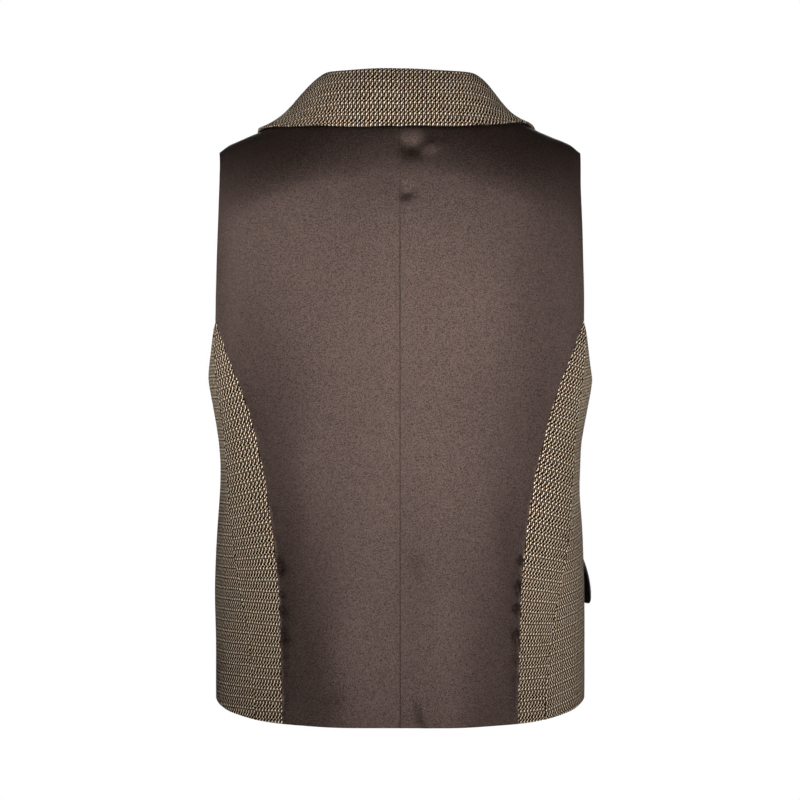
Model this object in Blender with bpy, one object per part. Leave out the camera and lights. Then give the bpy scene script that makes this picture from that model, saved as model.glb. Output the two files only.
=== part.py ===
"""A suit waistcoat, filled out as when it is worn: two satin back panels, two narrow tweed side backs,
two tweed fronts, a shawl collar in one piece, a pair of pocket flaps and five buttons.

Metres, +Z up. The front faces -Y and the wearer's left is +X. The origin is at the base of the neck,
between the shoulders, where the wearer holds the waistcoat up.

Every panel is laid out on one smooth skin. A place on it is (around, drop): around runs from 0 at the
centre back through 0.5 at the side to 1 at the centre front, and drop is the length of cloth down from
the top of the shoulder, negative where a panel crosses over it."""

import math
from collections import namedtuple

import bmesh
import bpy
import numpy as np
from mathutils import Matrix, Vector

# The figure that the cloth goes round, in level sections from the hem to the top of the shoulders.
Section = namedtuple("Section", "height half_width back_depth front_depth")
SECTIONS = (
    Section(-0.620, 0.1745, 0.1150, 0.1110),
    Section(-0.565, 0.1745, 0.1140, 0.1125),
    Section(-0.500, 0.1745, 0.1120, 0.1140),
    Section(-0.430, 0.1743, 0.1085, 0.1130),
    Section(-0.390, 0.1730, 0.1070, 0.1120),
    Section(-0.345, 0.1714, 0.1070, 0.1125),
    Section(-0.305, 0.1726, 0.1085, 0.1145),
    Section(-0.280, 0.1768, 0.1100, 0.1160),
    Section(-0.257, 0.1808, 0.1115, 0.1175),
    Section(-0.200, 0.1835, 0.1145, 0.1190),
    Section(-0.120, 0.1835, 0.1165, 0.1170),
    Section(0.060, 0.1835, 0.1160, 0.1150),
)
SQUARENESS = 2.3  # exponent of the sections: 2 is an ellipse
HALF_GIRTH = 0.49  # length of a section from the centre back to the centre front

# The shoulders: a ridge that falls away from the neck, and a round cap over it.
RIDGE_TOP = 0.0255
RIDGE_SLOPE = 0.45
RIDGE_ROUNDING = 0.050
RIDGE_DEPTH = 0.1155
CAP_HEIGHT = 0.090
CAP_LENGTH = 0.145
TOP_HALF_WIDTH = 0.1835
TIP_DROOP = 0.0030
TIP_DROOP_FROM = 0.1600
TIP_DROOP_OVER = 0.0130

# Outlines of the panels.
NECK_HALF_WIDTH = 0.078
BACK_NECK_DROP = 0.0640
NECK_ROUNDNESS = 2.2
SHOULDER_SEAM_FORWARD = 0.008
SHOULDER_TIP = 0.172
V_DEPTH = 0.205
FRONT_OVERLAP = 0.018
V_CORNER_HEIGHT = -0.2275

SeamPoint = namedtuple("SeamPoint", "height place")
PRINCESS_SEAM = (  # place is x, from the hem up to the armhole
    SeamPoint(-0.600, 0.1066),
    SeamPoint(-0.558, 0.1068),
    SeamPoint(-0.501, 0.1088),
    SeamPoint(-0.447, 0.1109),
    SeamPoint(-0.388, 0.1165),
    SeamPoint(-0.341, 0.1234),
    SeamPoint(-0.3065, 0.1310),
    SeamPoint(-0.2755, 0.1382),
    SeamPoint(-0.2554, 0.1453),
    SeamPoint(-0.225, 0.1575),
    SeamPoint(-0.196, 0.1695),
)
SIDE_SEAM = (  # place is y, from the hem up to the armhole
    SeamPoint(-0.600, 0.0825),
    SeamPoint(-0.535, 0.0805),
    SeamPoint(-0.481, 0.0740),
    SeamPoint(-0.440, 0.0660),
    SeamPoint(-0.400, 0.0560),
    SeamPoint(-0.360, 0.0480),
    SeamPoint(-0.320, 0.0430),
    SeamPoint(-0.280, 0.0460),
    SeamPoint(-0.240, 0.0490),
    SeamPoint(-0.2053, 0.0480),
)
HemPoint = namedtuple("HemPoint", "around height")
HEM = (
    HemPoint(0.000, -0.5646),
    HemPoint(0.120, -0.5644),
    HemPoint(0.240, -0.5628),
    HemPoint(0.318, -0.5593),
    HemPoint(0.357, -0.5573),
    HemPoint(0.409, -0.5536),
    HemPoint(0.500, -0.5500),
    HemPoint(0.600, -0.5515),
    HemPoint(0.700, -0.5580),
    HemPoint(0.800, -0.5680),
    HemPoint(0.880, -0.5790),
    HemPoint(0.9325, -0.5880),
)
ArmholePoint = namedtuple("ArmholePoint", "around height")
ARMHOLE_BACK = (  # from the shoulder tip down to the princess seam
    ArmholePoint(0.3640, -0.055),
    ArmholePoint(0.3590, -0.090),
    ArmholePoint(0.3590, -0.140),
    ArmholePoint(0.3612, -0.170),
)
ARMHOLE_UNDER = (  # from the side seam round the bottom to the front
    ArmholePoint(0.4107, -0.2307),
    ArmholePoint(0.4495, -0.2472),
    ArmholePoint(0.5031, -0.2570),
    ArmholePoint(0.5400, -0.2535),
    ArmholePoint(0.5850, -0.2400),
)
ARMHOLE_FRONT = (  # from there up to the shoulder tip
    ArmholePoint(0.6400, -0.212),
    ArmholePoint(0.6850, -0.175),
    ArmholePoint(0.7050, -0.130),
    ArmholePoint(0.6930, -0.085),
    ArmholePoint(0.6600, -0.052),
)
EdgePoint = namedtuple("EdgePoint", "x height")
FRONT_EDGE = (  # from the front point of the hem up to where the edge runs straight
    EdgePoint(0.0450, -0.5880),
    EdgePoint(0.0180, -0.5660),
    EdgePoint(-0.0040, -0.5430),
    EdgePoint(-0.0150, -0.5200),
    EdgePoint(-0.0180, -0.4950),
)

# Thicknesses and gaps.
SATIN_WALL = 0.0012
TWEED_WALL = 0.0020
COLLAR_WALL = 0.0022
FLAP_WALL = 0.0016
SEAM_GAP = 0.0003
OVERLAP_LIFT = 0.00125
OVERLAP_RAMP = (0.021, 0.048)

# The largest folds. A negative depth is a trough; side is +1 on the wearer's left, -1 on the right and 0
# on both. Each runs from place a to place b and dies away at its ends.
Fold = namedtuple("Fold", "side around_a height_a around_b height_b width depth")
FOLDS = (
    Fold(0, 0.000, -0.050, 0.000, -0.560, 0.009, -0.0010),
    Fold(0, 0.195, -0.330, 0.205, -0.560, 0.016, -0.0022),
    Fold(1, 0.300, -0.120, 0.190, -0.330, 0.034, -0.0018),
    Fold(-1, 0.310, -0.110, 0.215, -0.300, 0.038, -0.0020),
    Fold(1, 0.110, -0.080, 0.060, -0.300, 0.040, 0.0014),
    Fold(-1, 0.120, -0.090, 0.080, -0.270, 0.036, 0.0012),
    Fold(0, 0.480, -0.300, 0.560, -0.400, 0.026, -0.0018),
    Fold(1, 0.900, -0.300, 0.740, -0.350, 0.018, 0.0016),
    Fold(-1, 0.910, -0.310, 0.750, -0.330, 0.020, 0.0014),
    Fold(0, 0.740, -0.150, 0.800, -0.230, 0.022, -0.0018),
    Fold(0, 0.860, -0.480, 0.800, -0.560, 0.026, 0.0016),
)

# The collar's sections, from the centre back to the end at the centre front.
CollarSection = namedtuple("CollarSection", "station stand lean roll swell")
COLLAR_SECTIONS = (
    CollarSection(0.00, 0.0216, -0.0171, 0.0045, 0.35),
    CollarSection(0.16, 0.0258, -0.0160, 0.0047, 0.60),
    CollarSection(0.32, 0.0266, -0.0143, 0.0050, 1.00),
    CollarSection(0.45, 0.0215, -0.0095, 0.0045, 0.90),
    CollarSection(0.62, 0.0120, -0.0046, 0.0038, 0.60),
    CollarSection(0.80, 0.0068, -0.0024, 0.0029, 0.40),
    CollarSection(1.00, 0.0048, -0.0016, 0.0022, 0.30),
)
COLLAR_HOLLOW = 1.35  # above 1, the fall drops away from the roll sooner
COLLAR_FOOT_SINK = 0.0010  # the stand's foot reaches this far in beside the panels' edges
STAND_SHARES = (0.30, 0.62)  # where the stand's wall has corners, as shares of its height
ROLL_SHOULDER = (0.72, 0.30)  # the roll's inner corner: shares of it back from its top, and down
FALL_SHARES = (0.10, 0.22, 0.36, 0.52, 0.70, 0.86, 1.0)  # and the fall's, as shares of its width
CollarEdge = namedtuple("CollarEdge", "station x drop")  # drop is negative on the front
COLLAR_EDGE = (
    CollarEdge(0.00, 0.0000, 0.1023),
    CollarEdge(0.08, 0.0360, 0.0955),
    CollarEdge(0.16, 0.0700, 0.0785),
    CollarEdge(0.24, 0.1050, 0.0520),
    CollarEdge(0.32, 0.1300, 0.0160),
    CollarEdge(0.40, 0.1350, -0.0240),
    CollarEdge(0.50, 0.1270, -0.0720),
    CollarEdge(0.62, 0.1100, -0.1240),
    CollarEdge(0.74, 0.0860, -0.1750),
    CollarEdge(0.88, 0.0500, -0.2340),
    CollarEdge(1.00, 0.0180, -0.2830),
)
COLLAR_NECK_STATION = 0.32  # where the collar passes the shoulder seam
COLLAR_END_CLEAR = 0.0065  # from the centre front, so that the two ends pass side by side
COLLAR_EDGE_CLEAR = 0.0025
COLLAR_RIGHT_SHORTER = 0.0110  # the collar sits a little towards the left shoulder
COLLAR_RIGHT_STATION = 0.31
COLLAR_RIGHT_SPREAD = 0.10

# The pocket flaps, placed by their upper rear corner.
FLAP_REAR = 0.548
FLAP_TOP = -0.370
FLAP_LENGTH = 0.142
FLAP_DEPTH = 0.096
FLAP_SLANT = 0.012
FLAP_CORNER = 0.007
FLAP_CLEAR = 0.0006
FLAP_HANG = 0.0004  # the left one's lower edge hangs this much further out
FLAP_RISE = 0.0008  # the right one's rear edge stands off this far
FLAP_SPRING = 0.0085  # and its lower rear corner this much more
FLAP_SPRING_FROM = 0.56
FLAP_COLUMNS = 12
FLAP_ROWS = 7

# The buttons.
BUTTON_COUNT = 5
BUTTON_TOP = -0.240
BUTTON_SPACING = 0.062
BUTTON_RADIUS = 0.0078
BUTTON_HOLE_RADIUS = 0.00085
BUTTON_HOLE_OFFSET = 0.0019
TurnedPoint = namedtuple("TurnedPoint", "radius rise")
BUTTON_PROFILE = (  # from the middle of the underside round the rim to the middle of the dished top
    TurnedPoint(0.0000, 0.0000),
    TurnedPoint(0.0050, 0.0000),
    TurnedPoint(BUTTON_RADIUS, 0.0010),
    TurnedPoint(BUTTON_RADIUS, 0.0021),
    TurnedPoint(0.0068, 0.0031),
    TurnedPoint(0.0052, 0.0027),
    TurnedPoint(0.0042, 0.0019),
    TurnedPoint(0.0000, 0.0019),
)

# Mesh density.
LOWER_ROWS = 16
ARMHOLE_ROWS = 7
NECK_COLUMNS = 10
LOW_NECK_COLUMNS = 6
SHOULDER_COLUMNS = 7
SIDE_BACK_COLUMNS = 3
STRAIGHT_EDGE_POINTS = 11
UNDERARM_COLUMNS = 7
FRONT_COLUMNS = 13
FRONT_NECK_ROWS = 15
UNDERARM_HEM_SHIFT = 0.03  # the columns below the armhole lean this far back at the hem


def through(places, values):
    """A smooth function through the given places and values."""
    places = np.asarray(places, float)
    values = np.asarray(values, float)
    steps = np.diff(places)
    slopes = np.diff(values) / steps
    inner = (slopes[:-1] * steps[1:] + slopes[1:] * steps[:-1]) / (steps[1:] + steps[:-1])
    tangents = np.concatenate([slopes[:1], inner, slopes[-1:]])

    def at(place):
        place = np.clip(place, places[0], places[-1])
        i = np.clip(np.searchsorted(places, place, side="right") - 1, 0, len(steps) - 1)
        t = (place - places[i]) / steps[i]
        rise = (2 * t**3 - 3 * t**2 + 1) * values[i] + (3 * t**2 - 2 * t**3) * values[i + 1]
        bend = (t**3 - 2 * t**2 + t) * tangents[i] + (t**3 - t**2) * tangents[i + 1]
        return rise + bend * steps[i]

    return at


def column(rows, place, value):
    return through([getattr(row, place) for row in rows], [getattr(row, value) for row in rows])


half_width_at = column(SECTIONS, "height", "half_width")
back_depth_at = column(SECTIONS, "height", "back_depth")
front_depth_at = column(SECTIONS, "height", "front_depth")
hem_height_at = column(HEM, "around", "height")


def signed_power(value, power):
    return np.sign(value) * np.abs(value) ** power


def smooth_step(value):
    value = np.clip(value, 0, 1)
    return value * value * (3 - 2 * value)


def ridge_height(x):
    droop = TIP_DROOP * smooth_step((np.abs(x) - TIP_DROOP_FROM) / TIP_DROOP_OVER)
    return RIDGE_TOP - RIDGE_SLOPE * (np.hypot(x, RIDGE_ROUNDING) - RIDGE_ROUNDING) - droop


def skin(around, drop):
    """Points of the smooth skin on the wearer's left, before folds."""
    sideways = signed_power(np.sin(np.pi * around), 2 / SQUARENESS)
    backwards = signed_power(np.cos(np.pi * around), 2 / SQUARENESS)
    turn = np.clip(drop / CAP_LENGTH, -1, 1)
    fall = CAP_HEIGHT * (1 - np.cos(turn * np.pi / 2)) + np.maximum(np.abs(drop) - CAP_LENGTH, 0)
    z = ridge_height(TOP_HALF_WIDTH * sideways) - fall
    depth = np.where(backwards > 0, back_depth_at(z), front_depth_at(z))
    depth = RIDGE_DEPTH + (depth - RIDGE_DEPTH) * smooth_step(np.abs(turn))
    return np.stack([half_width_at(z) * sideways, backwards * depth * np.sin(turn * np.pi / 2), z], axis=-1)


def outward(around, drop):
    """Unit normals of the skin, pointing away from the wearer."""
    step = 2e-4
    across = skin(around + step, drop) - skin(around - step, drop)
    down = skin(around, drop + step) - skin(around, drop - step)
    normal = np.cross(across, down)
    return normal / np.linalg.norm(normal, axis=-1, keepdims=True)


def drop_at(around, z):
    """The drop that reaches a height."""
    sideways = signed_power(np.sin(np.pi * around), 2 / SQUARENESS)
    fall = ridge_height(TOP_HALF_WIDTH * sideways) - z
    turn = np.arccos(np.clip(1 - fall / CAP_HEIGHT, -1, 1)) / (np.pi / 2)
    return np.where(fall < CAP_HEIGHT, turn * CAP_LENGTH, CAP_LENGTH + fall - CAP_HEIGHT)


def around_of_x(x, z):
    """The place on the back that is x from the middle; 1 minus it is the place on the front."""
    return np.arcsin(signed_power(x / half_width_at(z), SQUARENESS / 2)) / np.pi


def around_of_y(y, z):
    return np.arccos(signed_power(y / back_depth_at(z), SQUARENESS / 2)) / np.pi


def fold_height(side, around, drop):
    """How far the folds move the skin out, in metres."""
    total = np.zeros(np.broadcast(around, drop).shape)
    for fold in FOLDS:
        if fold.side not in (0, side):
            continue
        start = np.array([fold.around_a * HALF_GIRTH, drop_at(fold.around_a, fold.height_a)])
        end = np.array([fold.around_b * HALF_GIRTH, drop_at(fold.around_b, fold.height_b)])
        line = end - start
        from_start = np.stack([around * HALF_GIRTH - start[0], drop - start[1]], axis=-1)
        t = np.clip(from_start @ line / (line @ line), 0, 1)
        away = np.linalg.norm(from_start - t[..., None] * line, axis=-1)
        total = total + fold.depth * np.exp(-((away / fold.width) ** 2)) * np.sin(np.pi * t) ** 0.7
    return total


def overlap_lift(side, around):
    """The left front is raised and the right one lowered where they cross at the centre front."""
    x = TOP_HALF_WIDTH * signed_power(np.sin(np.pi * around), 2 / SQUARENESS)
    near, far = OVERLAP_RAMP
    share = np.where(around > 0.5, smooth_step((far - x) / (far - near)), 0)
    return side * OVERLAP_LIFT * share


def surface(side, around, drop, lift=0.0):
    """Points of the cloth's outer face on one side of the garment, moved out by lift."""
    out = fold_height(side, around, drop) + overlap_lift(side, around) + lift
    points = skin(around, drop) + outward(around, drop) * np.asarray(out)[..., None]
    return points * np.array([side, 1, 1])


def sample(curve, start, end, count):
    """count + 1 places along a curve of (around, drop) rows, from one row's number to another's."""
    rows = np.arange(len(curve))
    t = np.linspace(start, end, count + 1)
    return np.stack([through(rows, curve[:, 0])(t), through(rows, curve[:, 1])(t)], axis=-1)


def along(curve, shares):
    """Places at the given shares of a curve's length."""
    fine = sample(curve, 0, len(curve) - 1, 240)
    steps = np.hypot(*(np.diff(fine, axis=0) * (HALF_GIRTH, 1)).T)
    length = np.concatenate([[0], np.cumsum(steps)]) / np.sum(steps)
    return np.stack([np.interp(shares, length, fine[:, 0]), np.interp(shares, length, fine[:, 1])], axis=-1)


def seam(rows, of_place, low, high, count):
    """Places up a seam between two heights."""
    place_at = column(rows, "height", "place")
    z = np.linspace(low, high, count + 1)
    around = of_place(place_at(z), z)
    return np.stack([around, drop_at(around, z)], axis=-1)


def hem(start, end, count):
    around = np.linspace(start, end, count + 1)
    return np.stack([around, drop_at(around, hem_height_at(around))], axis=-1)


def hem_meeting(rows, of_place):
    """The height at which a seam meets the hem."""
    place_at = column(rows, "height", "place")
    z = rows[1].height
    for _ in range(20):
        z = float(hem_height_at(of_place(place_at(z), z)))
    return z


def with_heights(rows):
    return np.array([(row.around, drop_at(row.around, row.height)) for row in rows])


def patch(bottom, top, left, right):
    """A Coons patch between four edges that share their corners: a grid of rows from bottom to top."""
    v = np.linspace(0, 1, len(left))[:, None, None]
    c = np.linspace(0, 1, len(bottom))[None, :, None]
    ruled = (1 - v) * bottom[None] + v * top[None] + (1 - c) * left[:, None] + c * right[:, None]
    corners = (1 - v) * ((1 - c) * bottom[0] + c * bottom[-1]) + v * ((1 - c) * top[0] + c * top[-1])
    return ruled - corners


def pinch(grid, edge):
    """Moves one edge of a grid inwards by half a seam gap."""
    view = {"left": grid, "right": grid[:, ::-1], "top": grid[::-1].transpose(1, 0, 2)}[edge]
    reach = np.linalg.norm(skin(*view[:, 0].T) - skin(*view[:, 1].T), axis=-1)
    view[:, 0] += (view[:, 1] - view[:, 0]) * (SEAM_GAP / 2 / reach)[:, None]


def make_object(name, mesh, material):
    mesh.materials.append(material)
    mesh.shade_smooth()
    mesh.set_sharp_from_angle(angle=math.radians(50))
    made = bpy.data.objects.new(name, mesh)
    bpy.context.scene.collection.objects.link(made)
    return made


def closed_wall(name, outer, inner, cells, material):
    """A wall between two faces with the same cells: the cells twice, and a rim round their free edges."""
    count = len(outer)
    free = {}
    for cell in cells:
        for a, b in zip(cell, cell[1:] + cell[:1]):
            if (b, a) in free:
                del free[b, a]
            else:
                free[a, b] = True
    faces = [tuple(cell) for cell in cells]
    faces += [tuple(count + i for i in reversed(cell)) for cell in cells]
    faces += [(b, a, count + a, count + b) for a, b in free]
    mesh = bpy.data.meshes.new(name)
    mesh.from_pydata([tuple(p) for p in np.concatenate([outer, inner])], [], faces)
    shell = bmesh.new()
    shell.from_mesh(mesh)
    bmesh.ops.recalc_face_normals(shell, faces=shell.faces)
    shell.to_mesh(mesh)
    shell.free()
    return make_object(name, mesh, material)


def cells_of(grids):
    """The places of several grids, each once, and the cells between them."""
    numbers = {}
    places = []
    cells = []
    for grid in grids:
        index = np.zeros(grid.shape[:2], int)
        for j, row in enumerate(grid):
            for i, place in enumerate(row):
                key = tuple(np.round(place, 7))
                if key not in numbers:
                    numbers[key] = len(places)
                    places.append(place)
                index[j, i] = numbers[key]
        for j in range(len(grid) - 1):
            for i in range(len(grid[0]) - 1):
                corners = (index[j, i], index[j + 1, i], index[j + 1, i + 1], index[j, i + 1])
                cells.append([int(number) for number in corners])
    return np.array(places), cells


def make_panel(name, side, grids, wall, material):
    places, cells = cells_of(grids)
    outer = surface(side, places[:, 0], places[:, 1])
    inner = surface(side, places[:, 0], places[:, 1], -wall)
    return closed_wall(name, outer, inner, cells, material)


def make_material(name, color, roughness):
    material = bpy.data.materials.new(name)
    material.use_nodes = True
    shader = material.node_tree.nodes["Principled BSDF"]
    shader.inputs["Base Color"].default_value = (*color, 1)
    shader.inputs["Roughness"].default_value = roughness
    return material


# Edges that two panels share.
princess_foot = hem_meeting(PRINCESS_SEAM, around_of_x)
side_foot = hem_meeting(SIDE_SEAM, around_of_y)
princess = seam(PRINCESS_SEAM, around_of_x, princess_foot, PRINCESS_SEAM[-1].height, LOWER_ROWS)
side_seam = seam(SIDE_SEAM, around_of_y, side_foot, SIDE_SEAM[-1].height, LOWER_ROWS)
tip_around = float(around_of_x(SHOULDER_TIP, 0))
neck_around = float(around_of_x(NECK_HALF_WIDTH, 0))
armhole = np.concatenate(
    [
        [(tip_around, -SHOULDER_SEAM_FORWARD)],
        with_heights(ARMHOLE_BACK),
        [princess[-1], side_seam[-1]],
        with_heights(ARMHOLE_UNDER),
        with_heights(ARMHOLE_FRONT),
        [(1 - tip_around, SHOULDER_SEAM_FORWARD)],
    ]
)
YOKE_ROW = 0.5  # level with the rise of the back neckline, between the armhole's first two places
PRINCESS_ROW = 1 + len(ARMHOLE_BACK)
SIDE_ROW = PRINCESS_ROW + 1
UNDER_ROW = SIDE_ROW + len(ARMHOLE_UNDER)


def back_neckline(x):
    """The drop of the back neckline at a distance from the middle."""
    share = np.clip(1 - np.abs(x / NECK_HALF_WIDTH) ** NECK_ROUNDNESS, 0, 1)
    return -SHOULDER_SEAM_FORWARD + (BACK_NECK_DROP + SHOULDER_SEAM_FORWARD) * share ** (1 / NECK_ROUNDNESS)


def back_grids():
    neck = np.stack([around_of_x(back_neck_x(), 0), back_neckline(back_neck_x())], axis=-1)
    low_neck = neck[: LOW_NECK_COLUMNS + 1]
    high_neck = neck[LOW_NECK_COLUMNS:]
    arm = sample(armhole, PRINCESS_ROW, YOKE_ROW, ARMHOLE_ROWS)
    level = np.linspace(high_neck[0], arm[-1], SHOULDER_COLUMNS + 1)
    top = np.concatenate([low_neck, level[1:]])
    bottom = hem(0, princess[0, 0], len(top) - 1)
    outer = np.concatenate([princess, arm[1:]])
    centre = np.stack([np.zeros(len(outer)), np.linspace(bottom[0, 1], top[0, 1], len(outer))], axis=-1)
    lower = patch(bottom, top, centre, outer)

    shoulder_around = around_of_x(np.linspace(NECK_HALF_WIDTH, SHOULDER_TIP, SHOULDER_COLUMNS + 1), 0)
    shoulder_drop = np.full(len(shoulder_around), -SHOULDER_SEAM_FORWARD)
    shoulder = np.stack([shoulder_around, shoulder_drop], axis=-1)
    upper_arm = sample(armhole, YOKE_ROW, 0, len(high_neck) - 1)
    upper = patch(level, shoulder, high_neck, upper_arm)
    pinch(lower, "left")
    pinch(lower, "right")
    pinch(upper, "right")
    pinch(upper, "top")
    return lower, upper


def side_back_grid():
    top = sample(armhole, PRINCESS_ROW, SIDE_ROW, SIDE_BACK_COLUMNS)
    bottom = hem(princess[0, 0], side_seam[0, 0], SIDE_BACK_COLUMNS)
    grid = patch(bottom, top, princess, side_seam)
    pinch(grid, "left")
    pinch(grid, "right")
    return grid


def neck_edge(height):
    """The x of the front neckline, which runs down to the first button."""
    return NECK_HALF_WIDTH * (1 - (height / V_DEPTH) ** 2)


def front_places(x, height):
    around = 1 - around_of_x(x, height)
    return np.stack([around, drop_at(around, height)], axis=-1)


def back_neck_x():
    """The x of the panels' own corners along the back neckline."""
    angles = np.linspace(0, math.pi / 2, NECK_COLUMNS + 1)
    return NECK_HALF_WIDTH * np.sin(angles) ** (2 / NECK_ROUNDNESS)


def front_neckline():
    """The panel's own corners down the front neckline, from the shoulder seam to the end of the collar."""
    end = -V_DEPTH * math.sqrt(1 - COLLAR_END_CLEAR / NECK_HALF_WIDTH)
    z = np.linspace(0, end, FRONT_NECK_ROWS + 1)
    places = front_places(neck_edge(z), z)
    places[0] = (1 - neck_around, SHOULDER_SEAM_FORWARD)
    return places


def front_grids():
    corner = front_places(-FRONT_OVERLAP, V_CORNER_HEIGHT)
    cutaway = np.array([front_places(row.x, row.height) for row in FRONT_EDGE])
    straight_z = np.linspace(FRONT_EDGE[-1].height, V_CORNER_HEIGHT, STRAIGHT_EDGE_POINTS + 1)[1:]
    straight = front_places(np.full(len(straight_z), -FRONT_OVERLAP), straight_z)
    front_edge = along(np.concatenate([cutaway, straight]), np.linspace(0, 1, LOWER_ROWS + 1))
    front_edge[-1] = corner

    under = sample(armhole, SIDE_ROW, UNDER_ROW, UNDERARM_COLUMNS)
    across = np.linspace(under[-1], corner, FRONT_COLUMNS + 1)
    level = np.concatenate([under, across[1:]])
    split = under[-1, 0] - UNDERARM_HEM_SHIFT
    bottom = np.concatenate(
        [
            hem(side_seam[0, 0], split, UNDERARM_COLUMNS),
            hem(split, HEM[-1].around, FRONT_COLUMNS)[1:],
        ]
    )
    front_edge[0] = bottom[-1]
    lower = patch(bottom, level, side_seam, front_edge)

    neck = np.concatenate([[corner], front_neckline()[::-1]])
    arm = sample(armhole, UNDER_ROW, len(armhole) - 1, len(neck) - 1)
    shoulder_around = 1 - around_of_x(np.linspace(SHOULDER_TIP, NECK_HALF_WIDTH, FRONT_COLUMNS + 1), 0)
    shoulder_drop = np.full(len(shoulder_around), SHOULDER_SEAM_FORWARD)
    shoulder = np.stack([shoulder_around, shoulder_drop], axis=-1)
    upper = patch(across, shoulder, arm, neck)
    pinch(lower, "left")
    pinch(upper, "top")
    return lower, upper


def yoke(side, x, drop, lift):
    """Points over the shoulders by x and drop, where a negative drop is on the front."""
    around = around_of_x(x, 0)
    return surface(side, np.where(drop < 0, 1 - around, around), np.abs(drop), lift)


def collar_necks():
    """Where the collar is sewn on: the station, x and drop of each place from the centre back forward."""
    x = back_neck_x()
    front = front_neckline()[1:]
    front_x = TOP_HALF_WIDTH * signed_power(np.sin(np.pi * front[:, 0]), 2 / SQUARENESS)
    stations = np.concatenate(
        [
            np.linspace(0, COLLAR_NECK_STATION, NECK_COLUMNS + 1),
            np.linspace(COLLAR_NECK_STATION, 1, FRONT_NECK_ROWS + 1)[1:],
        ]
    )
    return stations, np.concatenate([x, front_x]), np.concatenate([back_neckline(x), -front[:, 1]])


def collar_profile(row, width):
    """The middle of the collar's wall at one station: distances out from the neckline and off the cloth."""
    foot = -(SEAM_GAP + COLLAR_WALL / 2)
    top_out, top_off, roll = row.lean + foot, row.stand, row.roll
    points = [(foot, -COLLAR_FOOT_SINK)]
    for share in STAND_SHARES:
        points.append((foot + (top_out - roll - foot) * share, (top_off - roll) * share))
    points.append((top_out - roll, top_off - roll))
    points.append((top_out - roll * ROLL_SHOULDER[0], top_off - roll * ROLL_SHOULDER[1]))
    points.append((top_out, top_off))
    for share in FALL_SHARES:
        wave = ((1 + math.cos(math.pi * share)) / 2) ** COLLAR_HOLLOW
        height = row.swell * wave + (1 - row.swell) * (1 - share)
        off = COLLAR_EDGE_CLEAR + (top_off - COLLAR_EDGE_CLEAR) * height
        points.append((top_out + (width - top_out) * share, off))
    return np.array(points)


def offset_profile(profile, distance):
    """The profile moved sideways, to its outer face where the distance is positive."""
    direction = np.gradient(profile, axis=0)
    direction /= np.linalg.norm(direction, axis=1, keepdims=True)
    return profile + np.stack([-direction[:, 1], direction[:, 0]], axis=-1) * distance


def make_collar(material):
    stations, neck_x, neck_drop = collar_necks()
    end_x = column(COLLAR_EDGE, "station", "x")(stations)
    end_drop = column(COLLAR_EDGE, "station", "drop")(stations)
    fields = [column(COLLAR_SECTIONS, "station", name)(stations) for name in CollarSection._fields[1:]]
    outer, inner = [], []
    from_shorter = (stations - COLLAR_RIGHT_STATION) / COLLAR_RIGHT_SPREAD
    shorter = COLLAR_RIGHT_SHORTER * np.exp(-(from_shorter**2))
    for side in (1, -1):
        seam_line = yoke(side, neck_x, neck_drop, 0)
        edge_x = end_x - (shorter if side < 0 else 0)
        reach = yoke(side, edge_x, end_drop, 0) - seam_line
        width = np.linalg.norm(np.cross(np.gradient(seam_line, axis=0), reach), axis=1)
        width /= np.linalg.norm(np.gradient(seam_line, axis=0), axis=1)
        for k in range(len(stations)):
            row = CollarSection(stations[k], *(float(field[k]) for field in fields))
            profile = collar_profile(row, float(width[k]))
            for distance, face in ((COLLAR_WALL / 2, outer), (-COLLAR_WALL / 2, inner)):
                moved = offset_profile(profile, distance)
                share = moved[:, 0] / width[k]
                x = neck_x[k] + (edge_x[k] - neck_x[k]) * share
                drop = neck_drop[k] + (end_drop[k] - neck_drop[k]) * share
                face.append(yoke(side, x, drop, moved[:, 1]))
    half = len(stations)
    order = list(range(half - 1, 0, -1)) + list(range(half, 2 * half))
    points = len(outer[0])
    cells = []
    for j in range(len(order) - 1):
        for i in range(points - 1):
            a = j * points + i
            cells.append([a, a + 1, a + points + 1, a + points])
    faces = (np.array([face[k] for k in order]).reshape(-1, 3) for face in (outer, inner))
    return closed_wall("collar", *faces, cells, material)


def flap_standoff(side, along_share, down_share):
    """How far a flap stands off the front: the right one's lower rear corner has sprung out."""
    if side > 0:
        return FLAP_HANG * down_share
    sprung = np.clip((down_share - FLAP_SPRING_FROM) / (1 - FLAP_SPRING_FROM), 0, 1)
    return (FLAP_RISE + FLAP_SPRING * (1 - (1 - sprung) ** 2)) * (1 - along_share) ** 1.5


def make_flap(name, side, material):
    places, shares = [], []
    for j in range(FLAP_ROWS + 1):
        down = j / FLAP_ROWS
        for i in range(FLAP_COLUMNS + 1):
            share = (1 - math.cos(math.pi * i / FLAP_COLUMNS)) / 2
            x = share * FLAP_LENGTH
            from_end = min(x, FLAP_LENGTH - x)
            round_off = FLAP_CORNER - math.sqrt(max(FLAP_CORNER**2 - max(FLAP_CORNER - from_end, 0) ** 2, 0))
            depth = (FLAP_DEPTH - round_off) * down + FLAP_SLANT * share
            around = FLAP_REAR + x / HALF_GIRTH
            places.append((around, float(drop_at(FLAP_REAR, FLAP_TOP)) + depth))
            shares.append((share, down))
    places, shares = np.array(places), np.array(shares)
    lift = np.array([FLAP_CLEAR + flap_standoff(side, *pair) for pair in shares])
    outer = surface(side, places[:, 0], places[:, 1], lift + FLAP_WALL)
    inner = surface(side, places[:, 0], places[:, 1], lift)
    cells = []
    for j in range(FLAP_ROWS):
        for i in range(FLAP_COLUMNS):
            a = j * (FLAP_COLUMNS + 1) + i
            cells.append([a, a + 1, a + FLAP_COLUMNS + 2, a + FLAP_COLUMNS + 1])
    return closed_wall(name, outer, inner, cells, material)


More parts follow.
